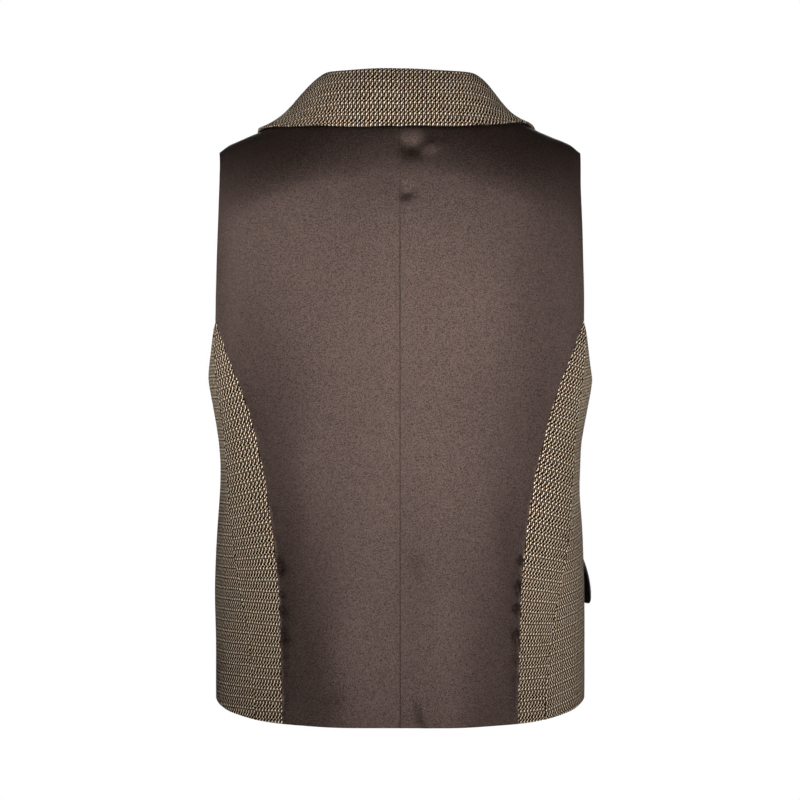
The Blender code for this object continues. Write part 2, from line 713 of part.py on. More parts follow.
def make_button(name, height, material):
    """A turned disc with a raised rim and four sewing holes, lying on the left front."""
    turned = bmesh.new()
    points = [turned.verts.new((point.radius, 0, point.rise)) for point in BUTTON_PROFILE]
    edges = [turned.edges.new(pair) for pair in zip(points, points[1:])]
    bmesh.ops.spin(turned, geom=points + edges, cent=(0, 0, 0), axis=(0, 0, 1), angle=math.tau, steps=18)
    bmesh.ops.remove_doubles(turned, verts=turned.verts, dist=1e-6)
    bmesh.ops.recalc_face_normals(turned, faces=turned.faces)
    mesh = bpy.data.meshes.new(name)
    turned.to_mesh(mesh)
    turned.free()
    button = make_object(name, mesh, material)

    place = np.array([1.0, float(drop_at(1.0, height))])
    seat = surface(1, place[0], place[1], SEAM_GAP)
    normal = Vector(outward(place[0], place[1]))
    facing = normal.to_track_quat("Z", "X").to_matrix().to_4x4()
    button.matrix_world = Matrix.Translation(Vector(seat)) @ facing

    drill = bmesh.new()
    for corner in range(4):
        angle = math.pi / 4 + corner * math.pi / 2
        centre = Vector((math.cos(angle), math.sin(angle), 0)) * BUTTON_HOLE_OFFSET
        bmesh.ops.create_cone(
            drill,
            cap_ends=True,
            segments=6,
            radius1=BUTTON_HOLE_RADIUS,
            radius2=BUTTON_HOLE_RADIUS,
            depth=0.010,
            matrix=Matrix.Translation(centre),
        )
    drill_mesh = bpy.data.meshes.new(name + "_drill")
    drill.to_mesh(drill_mesh)
    drill.free()
    cutter = bpy.data.objects.new(name + "_drill", drill_mesh)
    bpy.context.scene.collection.objects.link(cutter)
    cutter.parent = button
    cutter.hide_render = True
    cutter.display_type = "WIRE"
    holes = button.modifiers.new("sewing_holes", "BOOLEAN")
    holes.object = cutter
    return button


def main():
    for old in list(bpy.data.objects):
        bpy.data.objects.remove(old)
    satin = make_material("satin", (0.105, 0.075, 0.066), 0.38)
    tweed = make_material("tweed", (0.175, 0.135, 0.098), 0.85)
    black_satin = make_material("black_satin", (0.012, 0.011, 0.011), 0.40)
    horn = make_material("horn", (0.030, 0.020, 0.014), 0.30)
    sides = {"left": 1, "right": -1}
    for word, side in sides.items():
        make_panel(f"back_{word}", side, back_grids(), SATIN_WALL, satin)
        make_panel(f"side_back_{word}", side, [side_back_grid()], TWEED_WALL, tweed)
        make_panel(f"front_{word}", side, front_grids(), TWEED_WALL, tweed)
        make_flap(f"pocket_flap_{word}", side, black_satin)
    make_collar(tweed)
    for number in range(BUTTON_COUNT):
        make_button(f"button_{number + 1}", BUTTON_TOP - number * BUTTON_SPACING, horn)


main()
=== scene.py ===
"""The looks of a suit waistcoat, filled out as when it is worn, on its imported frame.

Metres, in the part's own frame: +Z up, the front faces -Y and the wearer's left is +X. The camera looks
at the back.

Each cloth piece is a thin shell on its solid's form: a fine grid over the same smooth skin, with softer
and smaller creases, rounded edges and the puckers beside the seams. A place on the skin is (around, drop):
around runs from 0 at the centre back through 0.5 at the side to 1 at the centre front, and drop is the
length of cloth down from the top of the shoulder. Every shell has a UV map in metres that lies along its
own grain, which the weaves are drawn on."""

import math
from collections import namedtuple

import bmesh
import bpy
import numpy as np
from mathutils import Matrix, Vector
from mathutils.kdtree import KDTree


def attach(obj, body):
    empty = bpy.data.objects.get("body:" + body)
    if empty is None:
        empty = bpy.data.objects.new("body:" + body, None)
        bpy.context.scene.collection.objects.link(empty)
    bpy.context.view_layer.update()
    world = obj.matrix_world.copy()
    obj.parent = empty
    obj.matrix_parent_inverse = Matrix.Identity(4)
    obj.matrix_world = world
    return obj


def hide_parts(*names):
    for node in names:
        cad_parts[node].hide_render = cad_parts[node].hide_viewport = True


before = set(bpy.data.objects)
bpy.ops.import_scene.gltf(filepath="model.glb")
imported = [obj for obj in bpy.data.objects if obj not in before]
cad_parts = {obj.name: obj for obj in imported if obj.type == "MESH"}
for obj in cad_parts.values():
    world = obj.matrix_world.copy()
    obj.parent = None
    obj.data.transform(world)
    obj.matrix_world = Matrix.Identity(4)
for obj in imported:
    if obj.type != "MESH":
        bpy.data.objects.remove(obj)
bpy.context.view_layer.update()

WEAVE_UV = "weave"


def table(columns, *rows):
    """Rows of numbers under named columns."""
    row = namedtuple("Row", columns)
    return [row(*values) for values in rows]


# ---- The cut, in the same sizes as the solids.

SECTIONS = table(
    "height half_width back_depth front_depth",
    (-0.620, 0.1745, 0.1150, 0.1110),
    (-0.565, 0.1745, 0.1140, 0.1125),
    (-0.500, 0.1745, 0.1120, 0.1140),
    (-0.430, 0.1743, 0.1085, 0.1130),
    (-0.390, 0.1730, 0.1070, 0.1120),
    (-0.345, 0.1714, 0.1070, 0.1125),
    (-0.305, 0.1726, 0.1085, 0.1145),
    (-0.280, 0.1768, 0.1100, 0.1160),
    (-0.257, 0.1808, 0.1115, 0.1175),
    (-0.200, 0.1835, 0.1145, 0.1190),
    (-0.120, 0.1835, 0.1165, 0.1170),
    (0.060, 0.1835, 0.1160, 0.1150),
)
SQUARENESS = 2.3  # exponent of the sections: 2 is an ellipse
HALF_GIRTH = 0.49  # length of a section from the centre back to the centre front
NORMAL_STEP = 2e-4  # how far apart the places are that give the skin's slope

RIDGE_TOP = 0.0255
RIDGE_SLOPE = 0.45
RIDGE_ROUNDING = 0.050
RIDGE_DEPTH = 0.1155
CAP_HEIGHT = 0.090
CAP_LENGTH = 0.145
TOP_HALF_WIDTH = 0.1835
TIP_DROOP = 0.0030
TIP_DROOP_FROM = 0.1600
TIP_DROOP_OVER = 0.0130

NECK_HALF_WIDTH = 0.078
BACK_NECK_DROP = 0.0640
NECK_ROUNDNESS = 2.2
SHOULDER_SEAM_FORWARD = 0.008
SHOULDER_TIP = 0.172
V_DEPTH = 0.205
FRONT_OVERLAP = 0.018
V_CORNER_HEIGHT = -0.2275

PRINCESS_SEAM = table(  # place is x, from the hem up to the armhole
    "height place",
    (-0.600, 0.1066),
    (-0.558, 0.1068),
    (-0.501, 0.1088),
    (-0.447, 0.1109),
    (-0.388, 0.1165),
    (-0.341, 0.1234),
    (-0.3065, 0.1310),
    (-0.2755, 0.1382),
    (-0.2554, 0.1453),
    (-0.225, 0.1575),
    (-0.196, 0.1695),
)
SIDE_SEAM = table(  # place is y, from the hem up to the armhole
    "height place",
    (-0.600, 0.0825),
    (-0.535, 0.0805),
    (-0.481, 0.0740),
    (-0.440, 0.0660),
    (-0.400, 0.0560),
    (-0.360, 0.0480),
    (-0.320, 0.0430),
    (-0.280, 0.0460),
    (-0.240, 0.0490),
    (-0.2053, 0.0480),
)
HEM = table(
    "around height",
    (0.000, -0.5646),
    (0.120, -0.5644),
    (0.240, -0.5628),
    (0.318, -0.5593),
    (0.357, -0.5573),
    (0.409, -0.5536),
    (0.500, -0.5500),
    (0.600, -0.5515),
    (0.700, -0.5580),
    (0.800, -0.5680),
    (0.880, -0.5790),
    (0.9325, -0.5880),
)
ARMHOLE_BACK = table(  # from the shoulder tip down to the princess seam
    "around height",
    (0.3640, -0.055),
    (0.3590, -0.090),
    (0.3590, -0.140),
    (0.3612, -0.170),
)
ARMHOLE_UNDER = table(  # from the side seam round the bottom to the front
    "around height",
    (0.4107, -0.2307),
    (0.4495, -0.2472),
    (0.5031, -0.2570),
    (0.5400, -0.2535),
    (0.5850, -0.2400),
)
ARMHOLE_FRONT = table(  # from there up to the shoulder tip
    "around height",
    (0.6400, -0.212),
    (0.6850, -0.175),
    (0.7050, -0.130),
    (0.6930, -0.085),
    (0.6600, -0.052),
)
FRONT_EDGE = table(  # from the front point of the hem up to where the edge runs straight
    "x height",
    (0.0450, -0.5880),
    (0.0180, -0.5660),
    (-0.0040, -0.5430),
    (-0.0150, -0.5200),
    (-0.0180, -0.4950),
)

SATIN_WALL = 0.0012
TWEED_WALL = 0.0020
COLLAR_WALL = 0.0022
FLAP_WALL = 0.0016
SEAM_GAP = 0.0003
OVERLAP_LIFT = 0.00125
OVERLAP_RAMP = (0.021, 0.048)

# Folds. A negative depth is a trough; side is +1 on the wearer's left, -1 on the right and 0 on both.
FOLD_TAPER = 1.5  # how fast a fold fades towards its ends
FOLDS = table(  # those that the solids have
    "side around_a height_a around_b height_b width depth",
    (0, 0.000, -0.050, 0.000, -0.560, 0.009, -0.0010),
    (0, 0.195, -0.330, 0.205, -0.560, 0.016, -0.0022),
    (1, 0.300, -0.120, 0.190, -0.330, 0.034, -0.0018),
    (-1, 0.310, -0.110, 0.215, -0.300, 0.038, -0.0020),
    (1, 0.110, -0.080, 0.060, -0.300, 0.040, 0.0014),
    (-1, 0.120, -0.090, 0.080, -0.270, 0.036, 0.0012),
    (0, 0.480, -0.300, 0.560, -0.400, 0.026, -0.0018),
    (1, 0.900, -0.300, 0.740, -0.350, 0.018, 0.0016),
    (-1, 0.910, -0.310, 0.750, -0.330, 0.020, 0.0014),
    (0, 0.740, -0.150, 0.800, -0.230, 0.022, -0.0018),
    (0, 0.860, -0.480, 0.800, -0.560, 0.026, 0.0016),
)
CREASES = table(  # smaller ones that only the shells have
    "side around_a height_a around_b height_b width depth",
    (1, 0.270, -0.050, 0.200, -0.330, 0.055, 0.0075),
    (-1, 0.265, -0.050, 0.195, -0.325, 0.055, 0.0070),
    (1, 0.084, -0.310, 0.080, -0.660, 0.034, 0.0085),
    (-1, 0.068, -0.330, 0.066, -0.680, 0.034, 0.0085),
    (1, 0.152, -0.240, 0.152, -0.465, 0.028, 0.0042),
    (-1, 0.150, -0.300, 0.148, -0.530, 0.026, 0.0022),
    (1, 0.400, -0.330, 0.460, -0.300, 0.012, 0.0008),
    (-1, 0.410, -0.345, 0.470, -0.310, 0.014, 0.0007),
    (1, 0.560, -0.430, 0.700, -0.405, 0.016, -0.0008),
    (-1, 0.550, -0.440, 0.690, -0.418, 0.018, -0.0009),
    (1, 0.640, -0.290, 0.780, -0.330, 0.015, -0.0010),
    (-1, 0.650, -0.285, 0.770, -0.322, 0.017, -0.0009),
    (1, 0.930, -0.262, 0.860, -0.300, 0.012, -0.0008),
    (-1, 0.930, -0.266, 0.870, -0.296, 0.012, -0.0007),
    (0, 0.955, -0.420, 0.870, -0.445, 0.014, 0.0007),
    (1, 0.780, -0.490, 0.700, -0.545, 0.017, 0.0008),
    (-1, 0.790, -0.480, 0.690, -0.538, 0.015, 0.0009),
)

COLLAR_SECTIONS = table(
    "station stand lean roll swell",
    (0.00, 0.0216, -0.0171, 0.0045, 0.35),
    (0.16, 0.0258, -0.0160, 0.0047, 0.60),
    (0.32, 0.0266, -0.0143, 0.0050, 1.00),
    (0.45, 0.0215, -0.0095, 0.0045, 0.90),
    (0.62, 0.0120, -0.0046, 0.0038, 0.60),
    (0.80, 0.0068, -0.0024, 0.0029, 0.40),
    (1.00, 0.0048, -0.0016, 0.0022, 0.30),
)
COLLAR_HOLLOW = 1.35
COLLAR_FOOT_SINK = 0.0010
STAND_SHARES = (0.30, 0.62)
ROLL_SHOULDER = (0.72, 0.30)
FALL_SHARES = (0.10, 0.22, 0.36, 0.52, 0.70, 0.86, 1.0)
COLLAR_EDGE = table(  # drop is negative on the front
    "station x drop",
    (0.00, 0.0000, 0.1023),
    (0.08, 0.0360, 0.0955),
    (0.16, 0.0700, 0.0785),
    (0.24, 0.1050, 0.0520),
    (0.32, 0.1300, 0.0160),
    (0.40, 0.1350, -0.0240),
    (0.50, 0.1270, -0.0720),
    (0.62, 0.1100, -0.1240),
    (0.74, 0.0860, -0.1750),
    (0.88, 0.0500, -0.2340),
    (1.00, 0.0180, -0.2830),
)
COLLAR_NECK_STATION = 0.32
COLLAR_END_CLEAR = 0.0065
COLLAR_EDGE_CLEAR = 0.0025
COLLAR_RIGHT_SHORTER = 0.0110
COLLAR_RIGHT_STATION = 0.31
COLLAR_RIGHT_SPREAD = 0.10
ROLL_LINE_AT = 3  # the roll line comes after one in so many of a section's points

FLAP_REAR = 0.548
FLAP_TOP = -0.370
FLAP_LENGTH = 0.142
FLAP_DEPTH = 0.096
FLAP_SLANT = 0.012
FLAP_CORNER = 0.007
FLAP_CLEAR = 0.0006
FLAP_HANG = 0.0004
FLAP_RISE = 0.0008
FLAP_SPRING = 0.0085
FLAP_SPRING_FROM = 0.56
FLAP_SPRING_FADES = 1.5

BUTTON_COUNT = 5
BUTTON_TOP = -0.240
BUTTON_SPACING = 0.062
BUTTON_RADIUS = 0.0078
BUTTON_HOLE_RADIUS = 0.00085
BUTTON_HOLE_OFFSET = 0.0019

# ---- What only the shells have.

# How many cells the grids have, and how close the lines beside an edge are, as shares of the first cell.
LOWER_ROWS = 280
ARMHOLE_ROWS = 66
NECK_COLUMNS = 50
LOW_NECK_COLUMNS = 30
SHOULDER_COLUMNS = 34
SIDE_BACK_COLUMNS = 24
UNDERARM_COLUMNS = 28
FRONT_COLUMNS = 56
FRONT_NECK_ROWS = 84
STRAIGHT_EDGE_POINTS = 11
UNDERARM_HEM_SHIFT = 0.03
COLLAR_POINTS = 96
FLAP_COLUMNS = 60
FLAP_ROWS = 40
EDGE_LINES = (0.07, 0.18, 0.42, 0.75)
EDGE_SAMPLES = 1200
RIM_SAMPLES = 5
HEM_ROUNDS = 20
NECK_CORNER_SHARE = 0.06  # of the front's upper part, below the end of the collar
NECK_CORNER_ROWS = 3
SAME_PLACE_DIGITS = 7

EDGE_ROUNDING = 0.20  # how far in from its edge a wall starts to round off, as a share of the wall
RIM_SHARE = 0.12  # the part of the wall that is left at the edge

# Puckers beside the princess seams: side, height, how deep, how tall and how far they reach into the satin.
PUCKERS = table(
    "side height depth tall reach",
    (1, -0.3020, 0.0014, 0.0060, 0.010),
    (1, -0.3400, 0.0015, 0.0050, 0.010),
    (1, -0.3730, 0.0024, 0.0045, 0.011),
    (1, -0.3985, 0.0024, 0.0040, 0.009),
    (1, -0.4180, 0.0080, 0.0034, 0.012),
    (1, -0.4245, 0.0115, 0.0040, 0.017),
    (1, -0.4470, 0.0063, 0.0028, 0.007),
    (1, -0.4615, 0.0105, 0.0032, 0.010),
    (1, -0.4810, 0.0070, 0.0030, 0.009),
    (1, -0.4870, 0.0101, 0.0034, 0.013),
    (1, -0.5030, 0.0033, 0.0030, 0.009),
    (1, -0.5190, 0.0027, 0.0034, 0.010),
    (1, -0.5410, 0.0021, 0.0040, 0.012),
    (-1, -0.2940, 0.0012, 0.0060, 0.010),
    (-1, -0.3320, 0.0015, 0.0055, 0.011),
    (-1, -0.3660, 0.0019, 0.0050, 0.010),
    (-1, -0.3935, 0.0024, 0.0040, 0.010),
    (-1, -0.4165, 0.0073, 0.0032, 0.012),
    (-1, -0.4380, 0.0095, 0.0036, 0.016),
    (-1, -0.4445, 0.0039, 0.0028, 0.009),
    (-1, -0.4595, 0.0088, 0.0034, 0.013),
    (-1, -0.4830, 0.0088, 0.0034, 0.014),
    (-1, -0.4900, 0.0033, 0.0028, 0.008),
    (-1, -0.5060, 0.0045, 0.0032, 0.010),
    (-1, -0.5235, 0.0039, 0.0034, 0.012),
    (-1, -0.5450, 0.0021, 0.0045, 0.010),
)
PUCKER_PEAK = 0.0022  # how far from the seam a pucker is deepest
PUCKER_ON_TWEED = 0.10

# Small dents and swellings of the satin under the collar and at the hem: the middle's x and height, how
# far each reaches along and across itself, how its length is turned from level, and how far out it moves
# the cloth.
DENTS = table(
    "x height along across turn depth",
    (0.0000, -0.0450, 0.0950, 0.0380, 0, -0.0058),
    (-0.0115, -0.0370, 0.0110, 0.0100, 14, -0.0062),
    (-0.0275, -0.0385, 0.0085, 0.0060, -20, 0.0026),
    (-0.0062, -0.0825, 0.0062, 0.0046, -38, -0.0046),
    (-0.0190, -0.4220, 0.0130, 0.0060, 58, 0.0018),
    (-0.0205, -0.5520, 0.0120, 0.0045, 74, 0.0024),
    (0.0700, -0.5480, 0.0240, 0.0100, -12, -0.0020),
)

# The slow unevenness of cloth that no seam holds: wavelengths across and down, height and phase.
RIPPLES = table(
    "across down height phase",
    (0.140, 0.310, 0.00035, 0.6),
    (-0.095, 0.190, 0.00025, 2.1),
    (0.061, 0.120, 0.00014, 4.0),
    (-0.047, 0.074, 0.00010, 5.2),
)

# The grain of the side backs leans with the panel: the degrees that the weft falls from the centre back
# outwards, on the wearer's left and right, and how many times closer the warp lies than in the collar.
SIDE_BACK_GRAIN = table(
    "height left right closer",
    (-0.545, 1.0, -0.8, 1.18),
    (-0.515, -0.5, -0.4, 1.30),
    (-0.480, -1.3, 2.6, 1.40),
    (-0.446, 0.2, 8.2, 1.36),
    (-0.400, 7.8, 11.4, 1.06),
    (-0.350, 10.3, 13.4, 0.86),
    (-0.250, 13.0, 9.0, 0.80),
)
FRONT_LEAN = {1: -0.5, -1: 8.0}  # degrees that the weft rises away from the side seam
FRONT_LEAN_FADES = 0.120
FRONT_GRAIN_FROM = 0.42  # the place round the skin where the fronts' grain starts to lean
FRONT_WARP_CLOSER = 1.25
WEFT_CLOSER = 1.17  # the rows of both lie closer than the collar's


def through(places, values):
    """A smooth function through the given places and values."""
    places = np.asarray(places, float)
    values = np.asarray(values, float)
    steps = np.diff(places)
    slopes = np.diff(values) / steps
    inner = (slopes[:-1] * steps[1:] + slopes[1:] * steps[:-1]) / (steps[1:] + steps[:-1])
    tangents = np.concatenate([slopes[:1], inner, slopes[-1:]])

    def at(place):
        place = np.clip(place, places[0], places[-1])
        i = np.clip(np.searchsorted(places, place, side="right") - 1, 0, len(steps) - 1)
        t = (place - places[i]) / steps[i]
        rise = (2 * t**3 - 3 * t**2 + 1) * values[i] + (3 * t**2 - 2 * t**3) * values[i + 1]
        bend = (t**3 - 2 * t**2 + t) * tangents[i] + (t**3 - t**2) * tangents[i + 1]
        return rise + bend * steps[i]

    return at


def column(rows, place, value):
    return through([getattr(row, place) for row in rows], [getattr(row, value) for row in rows])


half_width_at = column(SECTIONS, "height", "half_width")
back_depth_at = column(SECTIONS, "height", "back_depth")
front_depth_at = column(SECTIONS, "height", "front_depth")
hem_height_at = column(HEM, "around", "height")


def signed_power(value, power):
    return np.sign(value) * np.abs(value) ** power


def smooth_step(value):
    value = np.clip(value, 0, 1)
    return value * value * (3 - 2 * value)


def stacked(*parts):
    return np.stack(parts, axis=-1)


def between(start, end, share):
    return start + (end - start) * share


def step_lengths(points):
    return np.linalg.norm(np.diff(points, axis=0), axis=1)


def running(steps):
    """The running total of steps, from zero."""
    return np.concatenate([[0], np.cumsum(steps)])


def sideways_share(around):
    """How far sideways a place is, as a share of the half width."""
    return signed_power(np.sin(np.pi * around), 2 / SQUARENESS)


def top_height(around):
    """The height of the top of the shoulder above a place."""
    x = TOP_HALF_WIDTH * sideways_share(around)
    droop = TIP_DROOP * smooth_step((np.abs(x) - TIP_DROOP_FROM) / TIP_DROOP_OVER)
    return RIDGE_TOP - RIDGE_SLOPE * (np.hypot(x, RIDGE_ROUNDING) - RIDGE_ROUNDING) - droop


def skin(around, drop):
    """Points of the smooth skin on the wearer's left, before folds."""
    backwards = signed_power(np.cos(np.pi * around), 2 / SQUARENESS)
    turn = np.clip(drop / CAP_LENGTH, -1, 1)
    fall = CAP_HEIGHT * (1 - np.cos(turn * np.pi / 2)) + np.maximum(np.abs(drop) - CAP_LENGTH, 0)
    z = top_height(around) - fall
    depth = np.where(backwards > 0, back_depth_at(z), front_depth_at(z))
    depth = between(RIDGE_DEPTH, depth, smooth_step(np.abs(turn)))
    y = backwards * depth * np.sin(turn * np.pi / 2)
    return stacked(half_width_at(z) * sideways_share(around), y, z)


def outward(around, drop):
    """Unit normals of the skin, pointing away from the wearer."""
    across = skin(around + NORMAL_STEP, drop) - skin(around - NORMAL_STEP, drop)
    down = skin(around, drop + NORMAL_STEP) - skin(around, drop - NORMAL_STEP)
    normal = np.cross(across, down)
    return normal / np.linalg.norm(normal, axis=-1, keepdims=True)


def drop_at(around, z):
    """The drop that reaches a height."""
    fall = top_height(around) - z
    turn = np.arccos(np.clip(1 - fall / CAP_HEIGHT, -1, 1)) / (np.pi / 2)
    return np.where(fall < CAP_HEIGHT, turn * CAP_LENGTH, CAP_LENGTH + fall - CAP_HEIGHT)


def around_of_x(x, z):
    """The place on the back that is x from the middle; 1 minus it is the place on the front."""
    return np.arcsin(signed_power(x / half_width_at(z), SQUARENESS / 2)) / np.pi


def around_of_y(y, z):
    return np.arccos(signed_power(y / back_depth_at(z), SQUARENESS / 2)) / np.pi


def fold_height(folds, side, around, drop):
    """How far the folds move the skin out, in metres. A fold beside the centre back reaches over it."""
    total = np.zeros(np.broadcast(around, drop).shape)
    for fold in folds:
        own_side = side * (fold.side or side)
        start = np.array([fold.around_a * HALF_GIRTH, drop_at(fold.around_a, fold.height_a)])
        end = np.array([fold.around_b * HALF_GIRTH, drop_at(fold.around_b, fold.height_b)])
        line = end - start
        from_start = stacked(around * HALF_GIRTH * own_side - start[0], drop - start[1])
        t = np.clip(from_start @ line / (line @ line), 0, 1)
        away = np.linalg.norm(from_start - t[..., None] * line, axis=-1)
        fade = np.sin(np.pi * t) ** FOLD_TAPER
        total = total + fold.depth * np.exp(-((away / fold.width) ** 2)) * fade
    return total


def ripple_height(side, around, drop):
    total = np.zeros(np.broadcast(around, drop).shape)
    for ripple in RIPPLES:
        turn = around * HALF_GIRTH * side / ripple.across + drop / ripple.down
        total = total + ripple.height * np.sin(math.tau * turn + ripple.phase)
    return total


def overlap_lift(side, around):
    """The left front is raised and the right one lowered where they cross at the centre front."""
    x = TOP_HALF_WIDTH * sideways_share(around)
    near, far = OVERLAP_RAMP
    share = np.where(around > 0.5, smooth_step((far - x) / (far - near)), 0)
    return side * OVERLAP_LIFT * share


def surface(side, around, drop, lift=0.0):
    """Points of the cloth's outer face on one side of the garment, moved out by lift."""
    out = fold_height(FOLDS, side, around, drop) + overlap_lift(side, around)
    out = out + fold_height(CREASES, side, around, drop) + ripple_height(side, around, drop)
    points = skin(around, drop) + outward(around, drop) * np.asarray(out + lift)[..., None]
    return points * np.array([side, 1, 1])


# ---- Grids of places over the skin.


def crowded(count, start=True, end=True):
    """Shares from 0 to 1 in even steps, with more of them beside an end that is an edge of the cloth."""
    shares = np.linspace(0, 1, count + 1)
    more = np.array(EDGE_LINES) / count
    parts = [shares]
    if start:
        parts.append(more)
    if end:
        parts.append(1 - more)
    return np.sort(np.concatenate(parts))


def sample(curve, start, end, shares):
    """Places along a curve of (around, drop) rows, from one row's number to another's."""
    rows = np.arange(len(curve))
    t = between(start, end, shares)
    return stacked(through(rows, curve[:, 0])(t), through(rows, curve[:, 1])(t))


def straight(start, end, shares):
    return between(start, end, shares[:, None])


def along(curve, shares):
    """Places at the given shares of a curve's length."""
    fine = sample(curve, 0, len(curve) - 1, np.linspace(0, 1, EDGE_SAMPLES))
    steps = np.hypot(*(np.diff(fine, axis=0) * (HALF_GIRTH, 1)).T)
    length = running(steps) / np.sum(steps)
    return stacked(np.interp(shares, length, fine[:, 0]), np.interp(shares, length, fine[:, 1]))


def seam(rows, of_place, low, high, shares):
    """Places up a seam between two heights."""
    place_at = column(rows, "height", "place")
    z = between(low, high, shares)
    around = of_place(place_at(z), z)
    return stacked(around, drop_at(around, z))


def hem(start, end, shares):
    around = between(start, end, shares)
    return stacked(around, drop_at(around, hem_height_at(around)))


def hem_meeting(rows, of_place):
    """The height at which a seam meets the hem."""
    place_at = column(rows, "height", "place")
    z = rows[1].height
    for _ in range(HEM_ROUNDS):
        z = float(hem_height_at(of_place(place_at(z), z)))
    return z


def with_heights(rows):
    return np.array([(row.around, drop_at(row.around, row.height)) for row in rows])


def joined(*curves):
    """Curves end to end, without the points that they share."""
    return np.concatenate([curves[0]] + [curve[1:] for curve in curves[1:]])


def patch(bottom, top, left, right, across, up):
    """A Coons patch between four edges that share their corners: a grid of rows from bottom to top."""
    v = up[:, None, None]
    c = across[None, :, None]
    ruled = (1 - v) * bottom[None] + v * top[None] + (1 - c) * left[:, None] + c * right[:, None]
    corners = (1 - v) * ((1 - c) * bottom[0] + c * bottom[-1]) + v * ((1 - c) * top[0] + c * top[-1])
    return ruled - corners


UP = crowded(LOWER_ROWS)
princess_foot = hem_meeting(PRINCESS_SEAM, around_of_x)
side_foot = hem_meeting(SIDE_SEAM, around_of_y)
princess = seam(PRINCESS_SEAM, around_of_x, princess_foot, PRINCESS_SEAM[-1].height, UP)
side_seam = seam(SIDE_SEAM, around_of_y, side_foot, SIDE_SEAM[-1].height, UP)
tip_around = float(around_of_x(SHOULDER_TIP, 0))
neck_around = float(around_of_x(NECK_HALF_WIDTH, 0))
armhole = np.concatenate(
    [
        [(tip_around, -SHOULDER_SEAM_FORWARD)],
        with_heights(ARMHOLE_BACK),
        [princess[-1], side_seam[-1]],
        with_heights(ARMHOLE_UNDER),
        with_heights(ARMHOLE_FRONT),
        [(1 - tip_around, SHOULDER_SEAM_FORWARD)],
    ]
)
YOKE_ROW = 0.5
PRINCESS_ROW = 1 + len(ARMHOLE_BACK)
SIDE_ROW = PRINCESS_ROW + 1
UNDER_ROW = SIDE_ROW + len(ARMHOLE_UNDER)


def back_neckline(x):
    """The drop of the back neckline at a distance from the middle."""
    share = np.clip(1 - np.abs(x / NECK_HALF_WIDTH) ** NECK_ROUNDNESS, 0, 1)
    reach = BACK_NECK_DROP + SHOULDER_SEAM_FORWARD
    return -SHOULDER_SEAM_FORWARD + reach * share ** (1 / NECK_ROUNDNESS)


def back_neck_x(shares):
    return NECK_HALF_WIDTH * np.sin(shares * math.pi / 2) ** (2 / NECK_ROUNDNESS)


def shoulder_places(start_x, end_x, shares, drop, front):
    around = around_of_x(between(start_x, end_x, shares), 0)
    return stacked(1 - around if front else around, np.full(len(around), drop))


def back_grids():
    corner_share = LOW_NECK_COLUMNS / NECK_COLUMNS
    low_x = back_neck_x(corner_share * crowded(LOW_NECK_COLUMNS, end=False))
    high_rows = crowded(NECK_COLUMNS - LOW_NECK_COLUMNS)
    high_x = back_neck_x(between(corner_share, 1, high_rows))
    low_neck, high_neck = (stacked(around_of_x(x, 0), back_neckline(x)) for x in (low_x, high_x))
    yoke_columns = crowded(SHOULDER_COLUMNS)
    arm = sample(armhole, PRINCESS_ROW, YOKE_ROW, np.linspace(0, 1, ARMHOLE_ROWS + 1))
    middle = straight(high_neck[0], arm[-1], yoke_columns)
    top = joined(low_neck, middle)
    low_share = LOW_NECK_COLUMNS / (LOW_NECK_COLUMNS + SHOULDER_COLUMNS)
    low_columns = low_share * crowded(LOW_NECK_COLUMNS, end=False)
    across = np.concatenate([low_columns, between(low_share, 1, yoke_columns[1:])])
    bottom = hem(0, princess[0, 0], across)
    outer = joined(princess, arm)
    up = (outer[:, 1] - outer[0, 1]) / (outer[-1, 1] - outer[0, 1])
    centre = straight(np.array([0, bottom[0, 1]]), np.array([0, top[0, 1]]), up)
    lower = patch(bottom, top, centre, outer, across, up)
    seam_drop = -SHOULDER_SEAM_FORWARD
    shoulder = shoulder_places(NECK_HALF_WIDTH, SHOULDER_TIP, yoke_columns, seam_drop, False)
    upper_arm = sample(armhole, YOKE_ROW, 0, high_rows)
    upper = patch(middle, shoulder, high_neck, upper_arm, yoke_columns, high_rows)
    return lower, upper


def side_back_grids():
    across = crowded(SIDE_BACK_COLUMNS)
    top = sample(armhole, PRINCESS_ROW, SIDE_ROW, across)
    bottom = hem(princess[0, 0], side_seam[0, 0], across)
    return (patch(bottom, top, princess, side_seam, across, UP),)


def neck_edge(height):
    """The x of the front neckline, which runs down to the first button."""
    return NECK_HALF_WIDTH * (1 - (height / V_DEPTH) ** 2)


def front_places(x, height):
    around = 1 - around_of_x(x, height)
    return stacked(around, drop_at(around, height))


NECK_FOOT = -V_DEPTH * math.sqrt(1 - COLLAR_END_CLEAR / NECK_HALF_WIDTH)


def front_neckline(shares):
    """Places down the front neckline, from the shoulder seam to the end of the collar."""
    z = NECK_FOOT * shares
    places = front_places(neck_edge(z), z)
    places[0] = (1 - neck_around, SHOULDER_SEAM_FORWARD)
    return places


